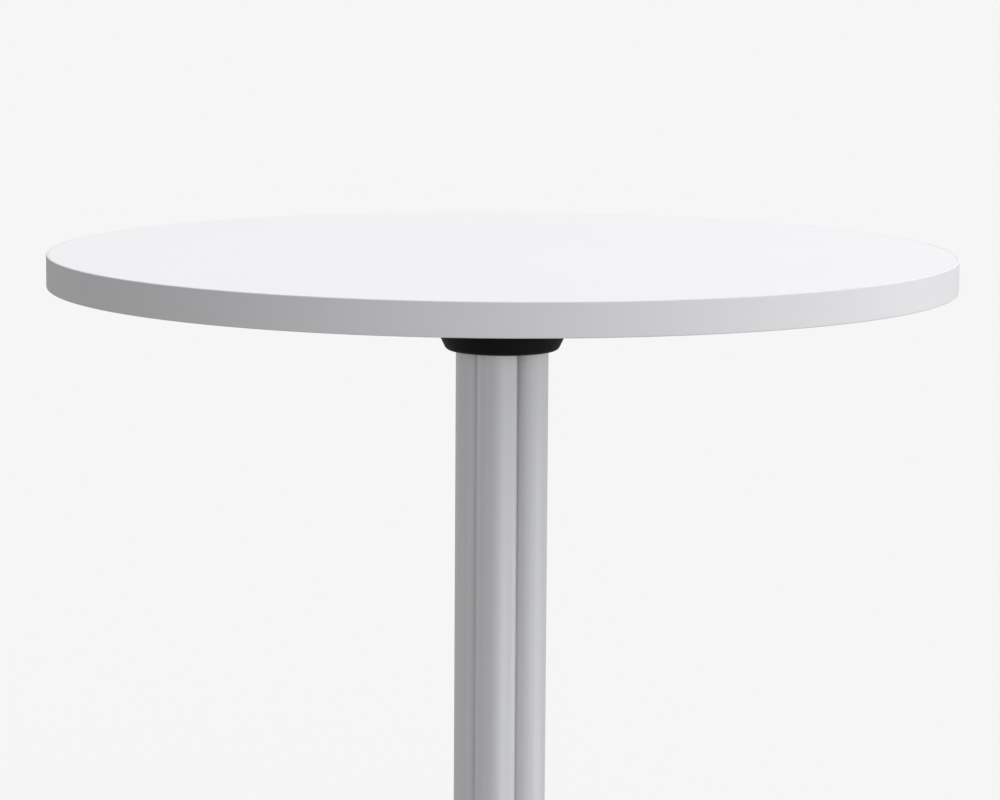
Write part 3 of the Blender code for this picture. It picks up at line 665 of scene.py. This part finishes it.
def makeCollar():
    low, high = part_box("top_collar")
    size = collarSizes
    low.z += size["lift"]
    rimLow = high.z - size["rimHeight"]
    foot = sideOf("column") + size["ledge"]
    lean = atan2(size["flare"], rimLow - low.z - size["corner"])
    wallFoot = foot + size["corner"] * cos(lean)
    rim = wallFoot + size["flare"]
    wallLow = low.z + size["corner"] * (1 - sin(lean))
    outline = [(size["bore"], low.z)]
    for k in range(size["cornerSteps"] + 1):
        angle = -pi / 2 + (pi / 2 - lean) * k / size["cornerSteps"]
        outline.append((foot + size["corner"] * cos(angle),
                        low.z + size["corner"] + size["corner"] * sin(angle)))
    outline += softOutline([
        (wallFoot, wallLow, 0), (rim, rimLow, size["rimRounding"]), (rim, high.z, size["rimEdge"]),
        (rim - size["wall"], high.z, size["lipEdge"]),
        (rim - size["wall"], rimLow, size["innerRounding"]),
        (wallFoot - size["wall"], low.z + size["floor"], size["innerRounding"]),
        (size["bore"], low.z + size["floor"], 0)])[1:]
    outline.append(outline[0])
    piece = spinPiece("collar_cup", outline, size["steps"])
    carve(piece, cloverCutter(low.z - past, low.z + size["recess"]))
    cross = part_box("mounting_cross")[1]
    for degrees in (0, 90):
        cutter = addBox("cutter", (0, 0, cross.z), (
            2 * cross.x, 2 * size["notch"], 2 * (cross.z - high.z + size["notchDepth"])))
        bpy.ops.object.mode_set(mode="OBJECT")
        carve(piece, turnPiece(cutter, degrees))
    for x in dowelSpots:
        drill(piece, size["dowelHole"], low.z, low.z + size["dowelDepth"], (x, 0), 24)
    dress(piece, "blackMoulding", "black_plastic", "top_collar")


makeCollar()
print("collar made")

crossSizes = {
    "halfWidth": 0.018, "thickness": 0.006, "innerRounding": 0.010, "edge": 0.0005,
    "bossRadius": 0.025, "bossEdge": 0.0015, "bore": 0.0053, "screwHole": 0.0028,
    "dowelHole": 0.0028, "dowelDepth": 0.0123,
}


def makeCross():
    low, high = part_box("mounting_cross")
    size = crossSizes
    plateLow = high.z - size["thickness"]
    bars = []
    for degrees in (0, 90):
        bar = addBox("cross_plate", (0, 0, (plateLow + high.z) / 2),
                     (2 * high.x, 2 * size["halfWidth"], size["thickness"]))
        soften(bar, size["halfWidth"], 16, rises)
        weld(2e-5)
        closeUp(bar)
        bars.append(turnPiece(bar, degrees))
    piece = carve(bars[0], bars[1], "UNION")
    piece.name = piece.data.name = "cross_plate"
    openEdit(piece)
    selectAll()
    bpy.ops.mesh.dissolve_limited(angle_limit=radians(1))
    soften(piece, size["innerRounding"], 8,
           lambda edge: rises(edge)
           and near(abs(edge.verts[0].co.x), size["halfWidth"], 1e-4)
           and near(abs(edge.verts[0].co.y), size["halfWidth"], 1e-4))
    soften(piece, size["edge"], 2, edgesAt(plateLow, high.z))
    closeUp(piece)
    boss = addRod("boss", size["bossRadius"], low.z, (plateLow + high.z) / 2, sides=96)
    softenRims(boss, (low.z,), size["bossEdge"], 4)
    carve(piece, boss, "UNION")
    drill(piece, size["bore"], low.z - past, high.z + past)
    for x in dowelSpots:
        drill(piece, size["dowelHole"], low.z - past, low.z + size["dowelDepth"], (x, 0), 24)
    for spot in screwSpots:
        drill(piece, size["screwHole"], plateLow - past, high.z + past, spot, 24)
    dress(piece, "blackPowderCoat", "black_steel", "mounting_cross")


makeCross()

panScrewSizes = {
    "headRadius": 0.005, "headHeight": 0.003,
    "crown": 0.62,  # share of the head's radius that is flat
    "crownRounding": 0.0018,
    "brow": 0.55,  # share of the head's height where its side begins
    "browRounding": 0.0010, "seatEdge": 0.0002, "shank": 0.0025, "shankRounding": 0.0003,
    "point": 0.006, "pointRounding": 0.001, "recessWidth": 0.0050, "recessBlade": 0.0011,
    "recessDepth": 0.0017, "recessTaper": (0.35, 0.7, 1),
    "turnEach": 23.0,  # degrees from one screw to the next
}


def makePanScrew():
    # modelled on the axis, head down; the cross recess is cut with two tapered blades
    low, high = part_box("wood_screw_1")
    size = panScrewSizes
    seat = low.z + size["headHeight"]
    outline = softOutline([
        (0, low.z, 0), (size["headRadius"] * size["crown"], low.z, size["crownRounding"]),
        (size["headRadius"], low.z + size["headHeight"] * size["brow"], size["browRounding"]),
        (size["headRadius"], seat, size["seatEdge"]),
        (size["shank"], seat, size["shankRounding"]),
        (size["shank"], high.z - size["point"], size["pointRounding"]), (0, high.z, 0)])
    piece = spinPiece("pan_screw_1", outline, 48)
    for degrees in (45, 135):
        blade = addBox("cutter", (0, 0, low.z + size["recessDepth"] / 2 - justPast / 2),
                       (size["recessWidth"], size["recessBlade"], size["recessDepth"] + justPast))
        pick(blade, "FACE", facesUp(low.z + size["recessDepth"]))
        bpy.ops.transform.resize(value=size["recessTaper"], center_override=(0, 0, low.z))
        closeUp(blade)
        carve(piece, turnPiece(blade, degrees))
    return piece


panScrew = makePanScrew()
for number, spot in enumerate(screwSpots[1:], 2):
    other = copyPiece(panScrew, f"pan_screw_{number}", panScrewSizes["turnEach"] * number)
    turnPiece(other, 0, (*spot, 0))
    dress(other, "zincPlate", "zinc_steel", f"wood_screw_{number}")
turnPiece(panScrew, 0, (*screwSpots[0], 0))
dress(panScrew, "zincPlate", "zinc_steel", "wood_screw_1")
print("mounting cross and its screws made")

hubSizes = {
    "cornerSteps": 14, "cornerEdge": 0.0015, "wall": 0.011, "ceiling": 0.012,
    "recess": 0.004, "edge": 0.0018, "rodHole": 0.0053, "screwHole": 0.0043,
}


def clippedRod(name, radius, flat, low, high):
    # a round blank with four flats across X and Y: four arcs, joined by straight edges and drawn up
    corner = acos(flat / radius)
    for turn in quarters:
        drawArc((0, 0), radius, turn + corner, turn + pi / 2 - corner,
                hubSizes["cornerSteps"], low, name if turn == 0 else None)
    piece = bpy.context.active_object
    for turn in quarters:
        ends = [onCircle((0, 0), radius, turn + sign * corner, low) for sign in (-1, 1)]
        joinEnds(piece, ends, 5e-6)
    selectAll()
    bpy.ops.mesh.edge_face_add()
    pull(0, 0, high - low)
    return closeUp(piece)


def hubShape(name, inset, low, high):
    # the hub's own outline, drawn in by the inset
    corner = max(v.co.xy.length for v in nodes["base_hub"].data.vertices)
    return clippedRod(name, corner - inset, sideOf("base_hub") - inset, low, high)


def makeHub():
    low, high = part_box("base_hub")
    size = hubSizes
    piece = hubShape("hub_casting", 0, low.z, high.z)
    openEdit(piece)
    soften(piece, size["cornerEdge"], 3,
           lambda edge: rises(edge, 0.01) and edge.calc_face_angle(0) > radians(15))
    closeUp(piece)
    softenRims(piece, (low.z, high.z), size["edge"], 4)
    carve(piece, hubShape("cutter", size["wall"], low.z - past, high.z - size["ceiling"]))
    carve(piece, cloverCutter(high.z - size["recess"], high.z + past))
    drill(piece, size["rodHole"], high.z - size["ceiling"] - past, high.z + justPast)
    heights = sorted({round(middleOf(f"arm_screw_{n}")[2], 5) for n in (1, 2)})
    for height in heights:
        for degrees in (0, 90):
            cutter = addRod("cutter", size["screwHole"], -high.x - past, high.x + past,
                            (0, height), 24, lying=True)
            carve(piece, turnPiece(cutter, degrees))
    dress(piece, "castSilver", "cast_aluminium", "base_hub")


makeHub()

rosetteSizes = {
    "steps": 192, "rim": 0.0055, "rounding": 0.003, "footEdge": 0.0008,
    "heelRounding": 0.0004, "toeRounding": 0.0006,
}


def makeRosette():
    low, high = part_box("base_rosette")
    size = rosetteSizes
    rim = sideOf("column") + size["rim"]
    outline = softOutline([
        (0, low.z, 0), (high.x, low.z, size["heelRounding"]),
        (high.x, low.z + size["footEdge"], size["toeRounding"]),
        (rim, high.z, size["rounding"]), (0, high.z, 0)])
    piece = spinPiece("rosette_ring", outline, size["steps"])
    carve(piece, cloverCutter(low.z - past, high.z + past))
    dress(piece, "blackMoulding", "black_plastic", "base_rosette")


makeRosette()

coverSizes = {
    "plate": 0.0025, "edge": 0.0008, "margin": 0.002, "wall": 0.002, "gap": 0.0003,
    "panelInset": 0.008, "panelDepth": 0.0006, "bossRadius": 0.007, "bossHeight": 0.001,
    "bossEdge": 0.0003,
}


def makeCover():
    low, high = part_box("hub_cover")
    size = coverSizes
    plateTop = low.z + size["plate"]
    piece = hubShape("cover_plate", size["margin"], low.z, plateTop)
    softenRims(piece, (low.z,), size["edge"])
    skirt = hubSizes["wall"] + size["gap"]
    ring = hubShape("ring", skirt, low.z + justPast, high.z)
    skirt += size["wall"]
    carve(ring, hubShape("cutter", skirt, plateTop, high.z + justPast))
    carve(piece, ring, "UNION")
    # a shallow moulded panel in the underside, with a ring at its middle
    sunk = size["margin"] + size["panelInset"]
    carve(piece, hubShape("cutter", sunk, low.z - justPast, low.z + size["panelDepth"]))
    boss = addRod("boss", size["bossRadius"], low.z, low.z + size["bossHeight"], sides=64)
    softenRims(boss, (low.z,), size["bossEdge"], 2)
    carve(piece, boss, "UNION")
    dress(piece, "blackMoulding", "black_plastic", "hub_cover")


makeCover()
print("hub, rosette and cover made")

armSizes = {
    "sections": 44, "noseSections": 12, "tipWidth": 0.028, "tipThickness": 0.0225,
    "flatLength": 0.040, "topRounding": 0.0095, "topSteps": 9, "bottomRounding": 0.0022,
    "bottomSteps": 4,
    "rootLift": 0.003,  # the root's underside above the hub's
    "sweep": 1.8,  # powers that bend the top, the underside and the sides
    "belly": 1.3, "taper": 1.2, "noseSpan": 78.0, "noseDrop": 0.005, "noseEdge": 0.0006,
    "rootEdge": 0.0005,
    "holeEnd": 0.0003,  # room above what stands in a hole
    "insertHole": 0.0063, "stemHole": 0.0043, "screwHole": 0.0043, "screwDepth": 0.0215,
}


def armSection(distance, root, tip, low, high):
    # (half width, underside, top) of the arm at a distance from the axis
    size = armSizes
    rest = (tip - distance) / (tip - root)
    curved = max(0.0, tip - size["flatLength"] - distance) / (tip - size["flatLength"] - root)
    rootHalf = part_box("arm_1")[1].y
    tipHalf = size["tipWidth"] / 2
    half = tipHalf + (rootHalf - tipHalf) * max(rest, 0.0) ** size["taper"]
    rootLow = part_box("base_hub")[0].z + size["rootLift"]
    bottom = low + (rootLow - low) * curved ** size["belly"]
    tipTop = low + size["tipThickness"]
    top = tipTop + (high - tipTop) * max(rest, 0.0) ** size["sweep"]
    return half, bottom, top


def makeArm():
    low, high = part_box("arm_1")
    size = armSizes
    root, tip = low.x, sideOf("glide_pad_1")
    noseStart = tip - size["tipWidth"] / 2
    stations = []
    for k in range(size["sections"] + 1):
        distance = root + (noseStart - root) * k / size["sections"]
        stations.append((distance, *armSection(distance, root, tip, low.z, high.z)))
    for k in range(1, size["noseSections"] + 1):
        angle = radians(size["noseSpan"]) * k / size["noseSections"]
        distance = noseStart + size["tipWidth"] / 2 * sin(angle)
        half, bottom, top = armSection(distance, root, tip, low.z, high.z)
        shrink = cos(angle)
        stations.append((distance, half * shrink, bottom, top - size["noseDrop"] * (1 - shrink)))
    # the root's section: a plate with its corners rounded, then drawn out station by station
    x, half, bottom, top = stations[0]
    clearSelection()
    bpy.ops.mesh.primitive_plane_add(size=1, location=(x, 0, (bottom + top) / 2),
                                     rotation=(0, pi / 2, 0))
    bpy.context.active_object.scale = (top - bottom, 2 * half, 1)
    piece = openPiece("arm_casting_1")
    for z, side in ((top, "top"), (bottom, "bottom")):
        pick(piece, "VERT", lambda v: near(v.co.z, z))
        bpy.ops.mesh.bevel(offset=size[side + "Rounding"], segments=size[side + "Steps"],
                           affect="VERTICES")
    pickAll("FACE")
    for nextStation in stations[1:]:
        newX, newHalf, newBottom, newTop = nextStation
        pull(newX - x, 0, (newBottom + newTop) / 2 - (bottom + top) / 2)
        bpy.ops.transform.resize(
            value=(1, newHalf / half, (newTop - newBottom) / (top - bottom)),
            center_override=(newX, 0, (newBottom + newTop) / 2))
        x, half, bottom, top = nextStation
    selectAll()
    bpy.ops.mesh.normals_make_consistent(inside=False)
    soften(piece, size["rootEdge"], 2,
           lambda edge: all(near(v.co.x, stations[0][0]) for v in edge.verts)
           and edge.calc_face_angle(0) > 1)
    soften(piece, size["noseEdge"], 2,
           lambda edge: all(near(v.co.x, stations[-1][0]) for v in edge.verts)
           and edge.calc_face_angle(0) > 0.1)
    closeUp(piece)
    glide = middleOf("glide_sole_1")[0]
    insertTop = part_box("thread_insert_1")[1].z
    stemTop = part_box("glide_stem_1")[1].z
    drill(piece, size["insertHole"], low.z - past, insertTop + size["holeEnd"], (glide, 0))
    drill(piece, size["stemHole"], insertTop - justPast, stemTop + size["holeEnd"], (glide, 0))
    for number in (1, 2):
        drill(piece, size["screwHole"], root - past, root + size["screwDepth"],
              (0, middleOf(f"arm_screw_{number}")[2]), 24, lying=True)
    return piece


armCasting = makeArm()
for number in (2, 3, 4):
    other = copyPiece(armCasting, f"arm_casting_{number}", 90 * (number - 1))
    dress(other, "castSilver", "cast_aluminium", f"arm_{number}")
dress(armCasting, "castSilver", "cast_aluminium", "arm_1")
print("arms made")

# the levelling glides are modelled on the axis and then set out under the arms
glideSizes = {
    "padSteps": 96, "padRim": 0.002, "padTop": 0.011,
    "padFoot": 0.0003,  # five more roundings of the pad follow, up to its socket
    "padEdge": 0.0007, "shoulderRounding": 0.0012, "crownRounding": 0.0010,
    "mouthEdge": 0.0004, "socketRounding": 0.0006,
    "shoulder": 0.0035, "shoulderRise": 0.0010, "socket": 0.0063, "mouth": 0.0038,
    "padFloor": 0.002, "padLip": 0.0015,
    "gap": 0.0003,  # between the pad and the stem
    "ball": 0.006, "ballRounding": 0.0008, "ballFlat": 0.0048, "ballEdge": 0.0003,
    "neck": 0.0035, "hexWidth": 0.013, "hexHeight": 0.004,
    "hexCrown": 0.0138,  # width across the chamfer's circle
    "hexDrop": 0.0008, "hexIn": 0.0006, "hexOut": 0.0012, "nutBore": 0.0043,
    "nutEdge": 0.0003, "core": 0.0033, "tipChamfer": 0.0006, "threadRadius": 0.004,
    "pitch": 0.00125, "threadSteps": 16,
    "threadStart": 0.35,  # in pitches, like the tooth's height
    "toothHeight": 0.86,
    "toothCrest": 0.2,  # share of that height
    "toothWidth": 0.0006, "stemChamfer": 0.001, "soleEdge": 0.0005, "soleTopEdge": 0.0002,
    "soleGroove": (0.0045, 0.0040, 0.0030, 0.0025),  # distances from its rim
    "soleGrooveDepth": 0.0006,
}


def makeHexagon(name, low, high):
    # a hexagonal blank with its corners turned off above and below
    size = glideSizes
    blank = addRod(name, size["hexWidth"] / 2 / cos(pi / 6), low, high, sides=6)
    crown = size["hexCrown"] / 2
    inner, outer, drop = crown - size["hexIn"], crown + size["hexOut"], size["hexDrop"]
    outline = softOutline([
        (0, low, 0), (inner, low, 0), (outer, low + drop, 0),
        (outer, high - drop, 0), (inner, high, 0), (0, high, 0)])
    return carve(blank, spinPiece("crown", outline, 72), "INTERSECT")


def makeStem():
    size = glideSizes
    low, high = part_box("glide_stem_1")
    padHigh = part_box("glide_pad_1")[1].z
    hexLow = padHigh + size["gap"]
    hexHigh = hexLow + size["hexHeight"]
    middle = (hexLow + hexHigh) / 2
    footTop = padHigh - size["padLip"] - size["gap"]
    piece = makeHexagon("glide_stem_1", hexLow, hexHigh)
    foot = spinPiece("foot", softOutline([
        (0, low.z, 0), (size["ballFlat"], low.z, size["ballEdge"]),
        (size["ball"], (low.z + footTop) / 2, size["ballRounding"]),
        (size["neck"], footTop, size["ballEdge"]), (size["neck"], middle, 0),
        (0, middle, 0)]), 48)
    carve(piece, foot, "UNION")
    shank = spinPiece("shank", softOutline([
        (0, middle, 0), (size["core"], middle, 0), (size["core"], high.z - size["tipChamfer"], 0),
        (size["core"] - size["tipChamfer"], high.z, 0), (0, high.z, 0)]), 48)
    carve(piece, shank, "UNION")
    # one tooth of the thread, drawn up and round from the hexagon to the tip
    start = hexHigh + size["pitch"] * size["threadStart"]
    turns = (high.z - size["stemChamfer"] - start) / size["pitch"]
    clearSelection()
    bpy.ops.mesh.primitive_plane_add(size=1, location=(size["core"], 0, start),
                                     rotation=(pi / 2, 0, 0))
    toothHeight = size["pitch"] * size["toothHeight"]
    bpy.context.active_object.scale = (size["toothWidth"], toothHeight, 1)
    tooth = openPiece("tooth")
    pick(tooth, "VERT", lambda v: v.co.x > size["core"])
    bpy.ops.transform.resize(value=(1, 1, size["toothCrest"]), center_override=(0, 0, start))
    crest = size["threadRadius"] - size["core"] - size["toothWidth"] / 2
    bpy.ops.transform.translate(value=(crest, 0, 0))
    pickAll("FACE")
    steps = size["threadSteps"]
    for _ in range(int(turns * steps)):
        pull(0, 0, size["pitch"] / steps)
        bpy.ops.transform.rotate(value=-2 * pi / steps, orient_axis="Z",
                                 center_override=(0, 0, 0))
    closeUp(tooth)
    carve(piece, tooth, "UNION")
    return piece


def makePad():
    size = glideSizes
    low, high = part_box("glide_pad_1")
    half = (high.x - low.x) / 2
    rim, lip, floor = low.z + size["padRim"], high.z - size["padLip"], low.z + size["padFloor"]
    outline = softOutline([
        (0, low.z, 0), (half, low.z, size["padFoot"]), (half, rim, size["padEdge"]),
        (half - size["shoulder"], rim + size["shoulderRise"], size["shoulderRounding"]),
        (size["padTop"], high.z, size["crownRounding"]), (size["mouth"], high.z, size["mouthEdge"]),
        (size["mouth"], lip, 0), (size["socket"], lip, 0),
        (size["socket"], floor, size["socketRounding"]), (0, floor, 0)])
    return spinPiece("pad_disc_1", outline, size["padSteps"])


def makeSole():
    size = glideSizes
    low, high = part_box("glide_sole_1")
    half = (high.x - low.x) / 2
    outline = softOutline([
        (0, low.z, 0),
        *[(half - away, low.z + up * size["soleGrooveDepth"], 0)
          for away, up in zip(size["soleGroove"], (0, 1, 1, 0))],
        (half, low.z, size["soleEdge"]), (half, high.z, size["soleTopEdge"]), (0, high.z, 0)], 3)
    return spinPiece("sole_disc_1", outline, size["padSteps"])


def makeLockNut():
    low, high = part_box("lock_nut_1")
    piece = makeHexagon("lock_nut_shaped_1", low.z, high.z)
    drill(piece, glideSizes["nutBore"], low.z - justPast, high.z + justPast, sides=48)
    openEdit(piece)
    soften(piece, glideSizes["nutEdge"], 1,
           lambda edge: edgesAt(low.z, high.z)(edge)
           and all(v.co.xy.length < glideSizes["nutBore"] + 1e-4 for v in edge.verts))
    return closeUp(piece)


glideParts = [
    (makeLockNut(), "lock_nut_shaped_", "lock_nut_", "zincPlate", "zinc_steel", "table"),
    (makeStem(), "stem_threaded_", "glide_stem_", "zincPlate", "zinc_steel", "stem_"),
    (makePad(), "pad_disc_", "glide_pad_", "blackMoulding", "black_plastic", "pad_"),
    (makeSole(), "sole_disc_", "glide_sole_", "glideRubber", "rubber", "pad_"),
]
for first, label, node, finish, slot, body in glideParts:
    first.name = first.data.name = label + "1"
    for number in (2, 3, 4, 1):
        piece = copyPiece(first, f"{label}{number}") if number > 1 else first
        turnPiece(piece, 90 * (number - 1))
        turnPiece(piece, 0, (*middleOf(f"glide_sole_{number}")[:2], 0))
        owner = body if body == "table" else f"{body}{number}"
        dress(piece, finish, slot, f"{node}{number}", body=owner)
print("glides made")

# finishes for the parts that are shown as they are
plainParts = {
    "tabletop_core": "chipboard",
    "tie_rod": "zincPlate",
    "dowel_pin": "zincPlate",
    "thread_insert": "zincPlate",
    "arm_screw": "zincPlate",
}
for name, node in nodes.items():
    for start, finish in plainParts.items():
        if name.startswith(start):
            for index in range(max(1, len(node.material_slots))):
                if node.material_slots:
                    node.material_slots[index].material = made[finish]
                else:
                    node.data.materials.append(made[finish])
print("carried-over parts finished")

studio = {
    "floorTone": 0.922,  # what the camera sees of the clean floor
    "floorGlow": 0.600,  # the part that shines by itself
    "floorMatte": 0.32,  # the part that takes shadows
    "floorBounce": 0.375,  # the floor as the table sees it
    "poolBounce": 0.26,  # more of it where the light falls
    "poolPlace": (1.2, -0.4), "poolCore": 0.2, "poolRadius": 1.3, "floorRadius": 120,
    "floorInset": 80, "floorHeight": -0.0004,
    "left": 0.26,  # light from all round, and what the right and the back add to it
    "right": 0.78, "rightSpread": (-0.5, 0.9), "behind": 0.655, "behindSpread": (0.0, 0.9),
    "keyStrength": 1.22, "keyColour": (0.99, 0.98, 1.0),
    "keyDirection": (0.62, -0.12, 0.78), "keyAngle": 70.0,
}


def makeFloor():
    clearSelection()
    bpy.ops.mesh.primitive_circle_add(vertices=96, radius=studio["floorRadius"], fill_type="NGON",
                                      location=(0, 0, studio["floorHeight"]))
    floor = openPiece("studio_floor")
    bpy.ops.mesh.inset(thickness=studio["floorInset"])
    closeUp(floor)
    if floor.data.polygons[0].normal.z < 0:
        floor.data.flip_normals()
    material, tree = newMaterial("studioFloor")
    tree.nodes.remove(tree.nodes["Principled BSDF"])
    seen = addNode(tree, "Emission", Color=(*[studio["floorGlow"]] * 3, 1), Strength=1.0)
    matte = addNode(tree, "BsdfDiffuse", Color=(*[studio["floorMatte"]] * 3, 1))
    both = addNode(tree, "AddShader", i0=seen.outputs[0], i1=matte.outputs[0])
    place = addNode(tree, "TexCoord")
    away = addNode(tree, "VectorMath", {"operation": "DISTANCE"}, i0=place.outputs["Object"],
                   i1=(*studio["poolPlace"], 0))
    base = studio["floorBounce"]
    pool = remap(tree, away.outputs["Value"], studio["poolCore"], studio["poolRadius"],
                 base + studio["poolBounce"], base, "SMOOTHSTEP")
    bounce = addNode(tree, "Emission", Strength=pool)
    path = addNode(tree, "LightPath")
    choice = addNode(tree, "MixShader", i0=path.outputs["Is Camera Ray"], i1=bounce.outputs[0],
                     i2=both.outputs[0])
    # clear from below, so that the underside can be looked at
    facing = addNode(tree, "NewGeometry")
    clear = addNode(tree, "BsdfTransparent")
    oneSided = addNode(tree, "MixShader", i0=facing.outputs["Backfacing"], i1=choice.outputs[0],
                       i2=clear.outputs[0])
    feed(tree, oneSided.outputs[0], tree.nodes["Material Output"].inputs["Surface"])
    floor.data.materials.append(material)


def makeWorld():
    world = bpy.data.worlds.new("studioLight")
    scene.world = world
    world.use_nodes = True
    tree = world.node_tree
    place = addNode(tree, "TexCoord")
    parts = addNode(tree, "SeparateXYZ", i0=place.outputs["Generated"])
    side = remap(tree, parts.outputs["X"], *studio["rightSpread"], 0.0, studio["right"],
                 "SMOOTHSTEP")
    behind = remap(tree, parts.outputs["Y"], *studio["behindSpread"], 0.0, studio["behind"],
                   "SMOOTHSTEP")
    more = compute(tree, "ADD", False, side, behind)
    level = compute(tree, "ADD", False, more, studio["left"])
    path = addNode(tree, "LightPath")
    seen = addNode(tree, "Mix", {"data_type": "FLOAT"}, i0=path.outputs["Is Camera Ray"],
                   i2=level, i3=studio["floorTone"])
    ground = tree.nodes["Background"].inputs
    feed(tree, seen.outputs[0], ground["Strength"])
    ground["Color"].default_value = (1, 1, 1, 1)


def makeKey():
    lamp = bpy.data.lights.new("softKey", "SUN")
    lamp.energy = studio["keyStrength"]
    lamp.color = studio["keyColour"]
    lamp.angle = radians(studio["keyAngle"])
    key = bpy.data.objects.new("softKey", lamp)
    scene.collection.objects.link(key)
    key.rotation_euler = Vector(studio["keyDirection"]).to_track_quat("Z", "Y").to_euler()


cameraSet = {
    "distance": 2.714, "side": 10.0, "height": 1.005, "lens": 127.0, "sensor": 36,
    "farthest": 400, "tilt": 7.99, "yaw": 0.03, "roll": 0.38,
}


def makeCamera():
    lens = bpy.data.cameras.new("camera")
    lens.lens = cameraSet["lens"]
    lens.sensor_width = cameraSet["sensor"]
    lens.clip_end = cameraSet["farthest"]
    camera = bpy.data.objects.new("camera", lens)
    scene.collection.objects.link(camera)
    side, away = radians(cameraSet["side"]), cameraSet["distance"]
    camera.location = (away * sin(side), -away * cos(side), cameraSet["height"])
    heading = Matrix.Rotation(side + radians(cameraSet["yaw"]), 4, "Z")
    tilt = Matrix.Rotation(radians(90 - cameraSet["tilt"]), 4, "X")
    roll = Matrix.Rotation(radians(cameraSet["roll"]), 4, "Z")
    camera.rotation_euler = (heading @ tilt @ roll).to_euler()
    scene.camera = camera


makeFloor()
makeWorld()
makeKey()
makeCamera()
scene.view_settings.view_transform = "Standard"
print("studio ready")
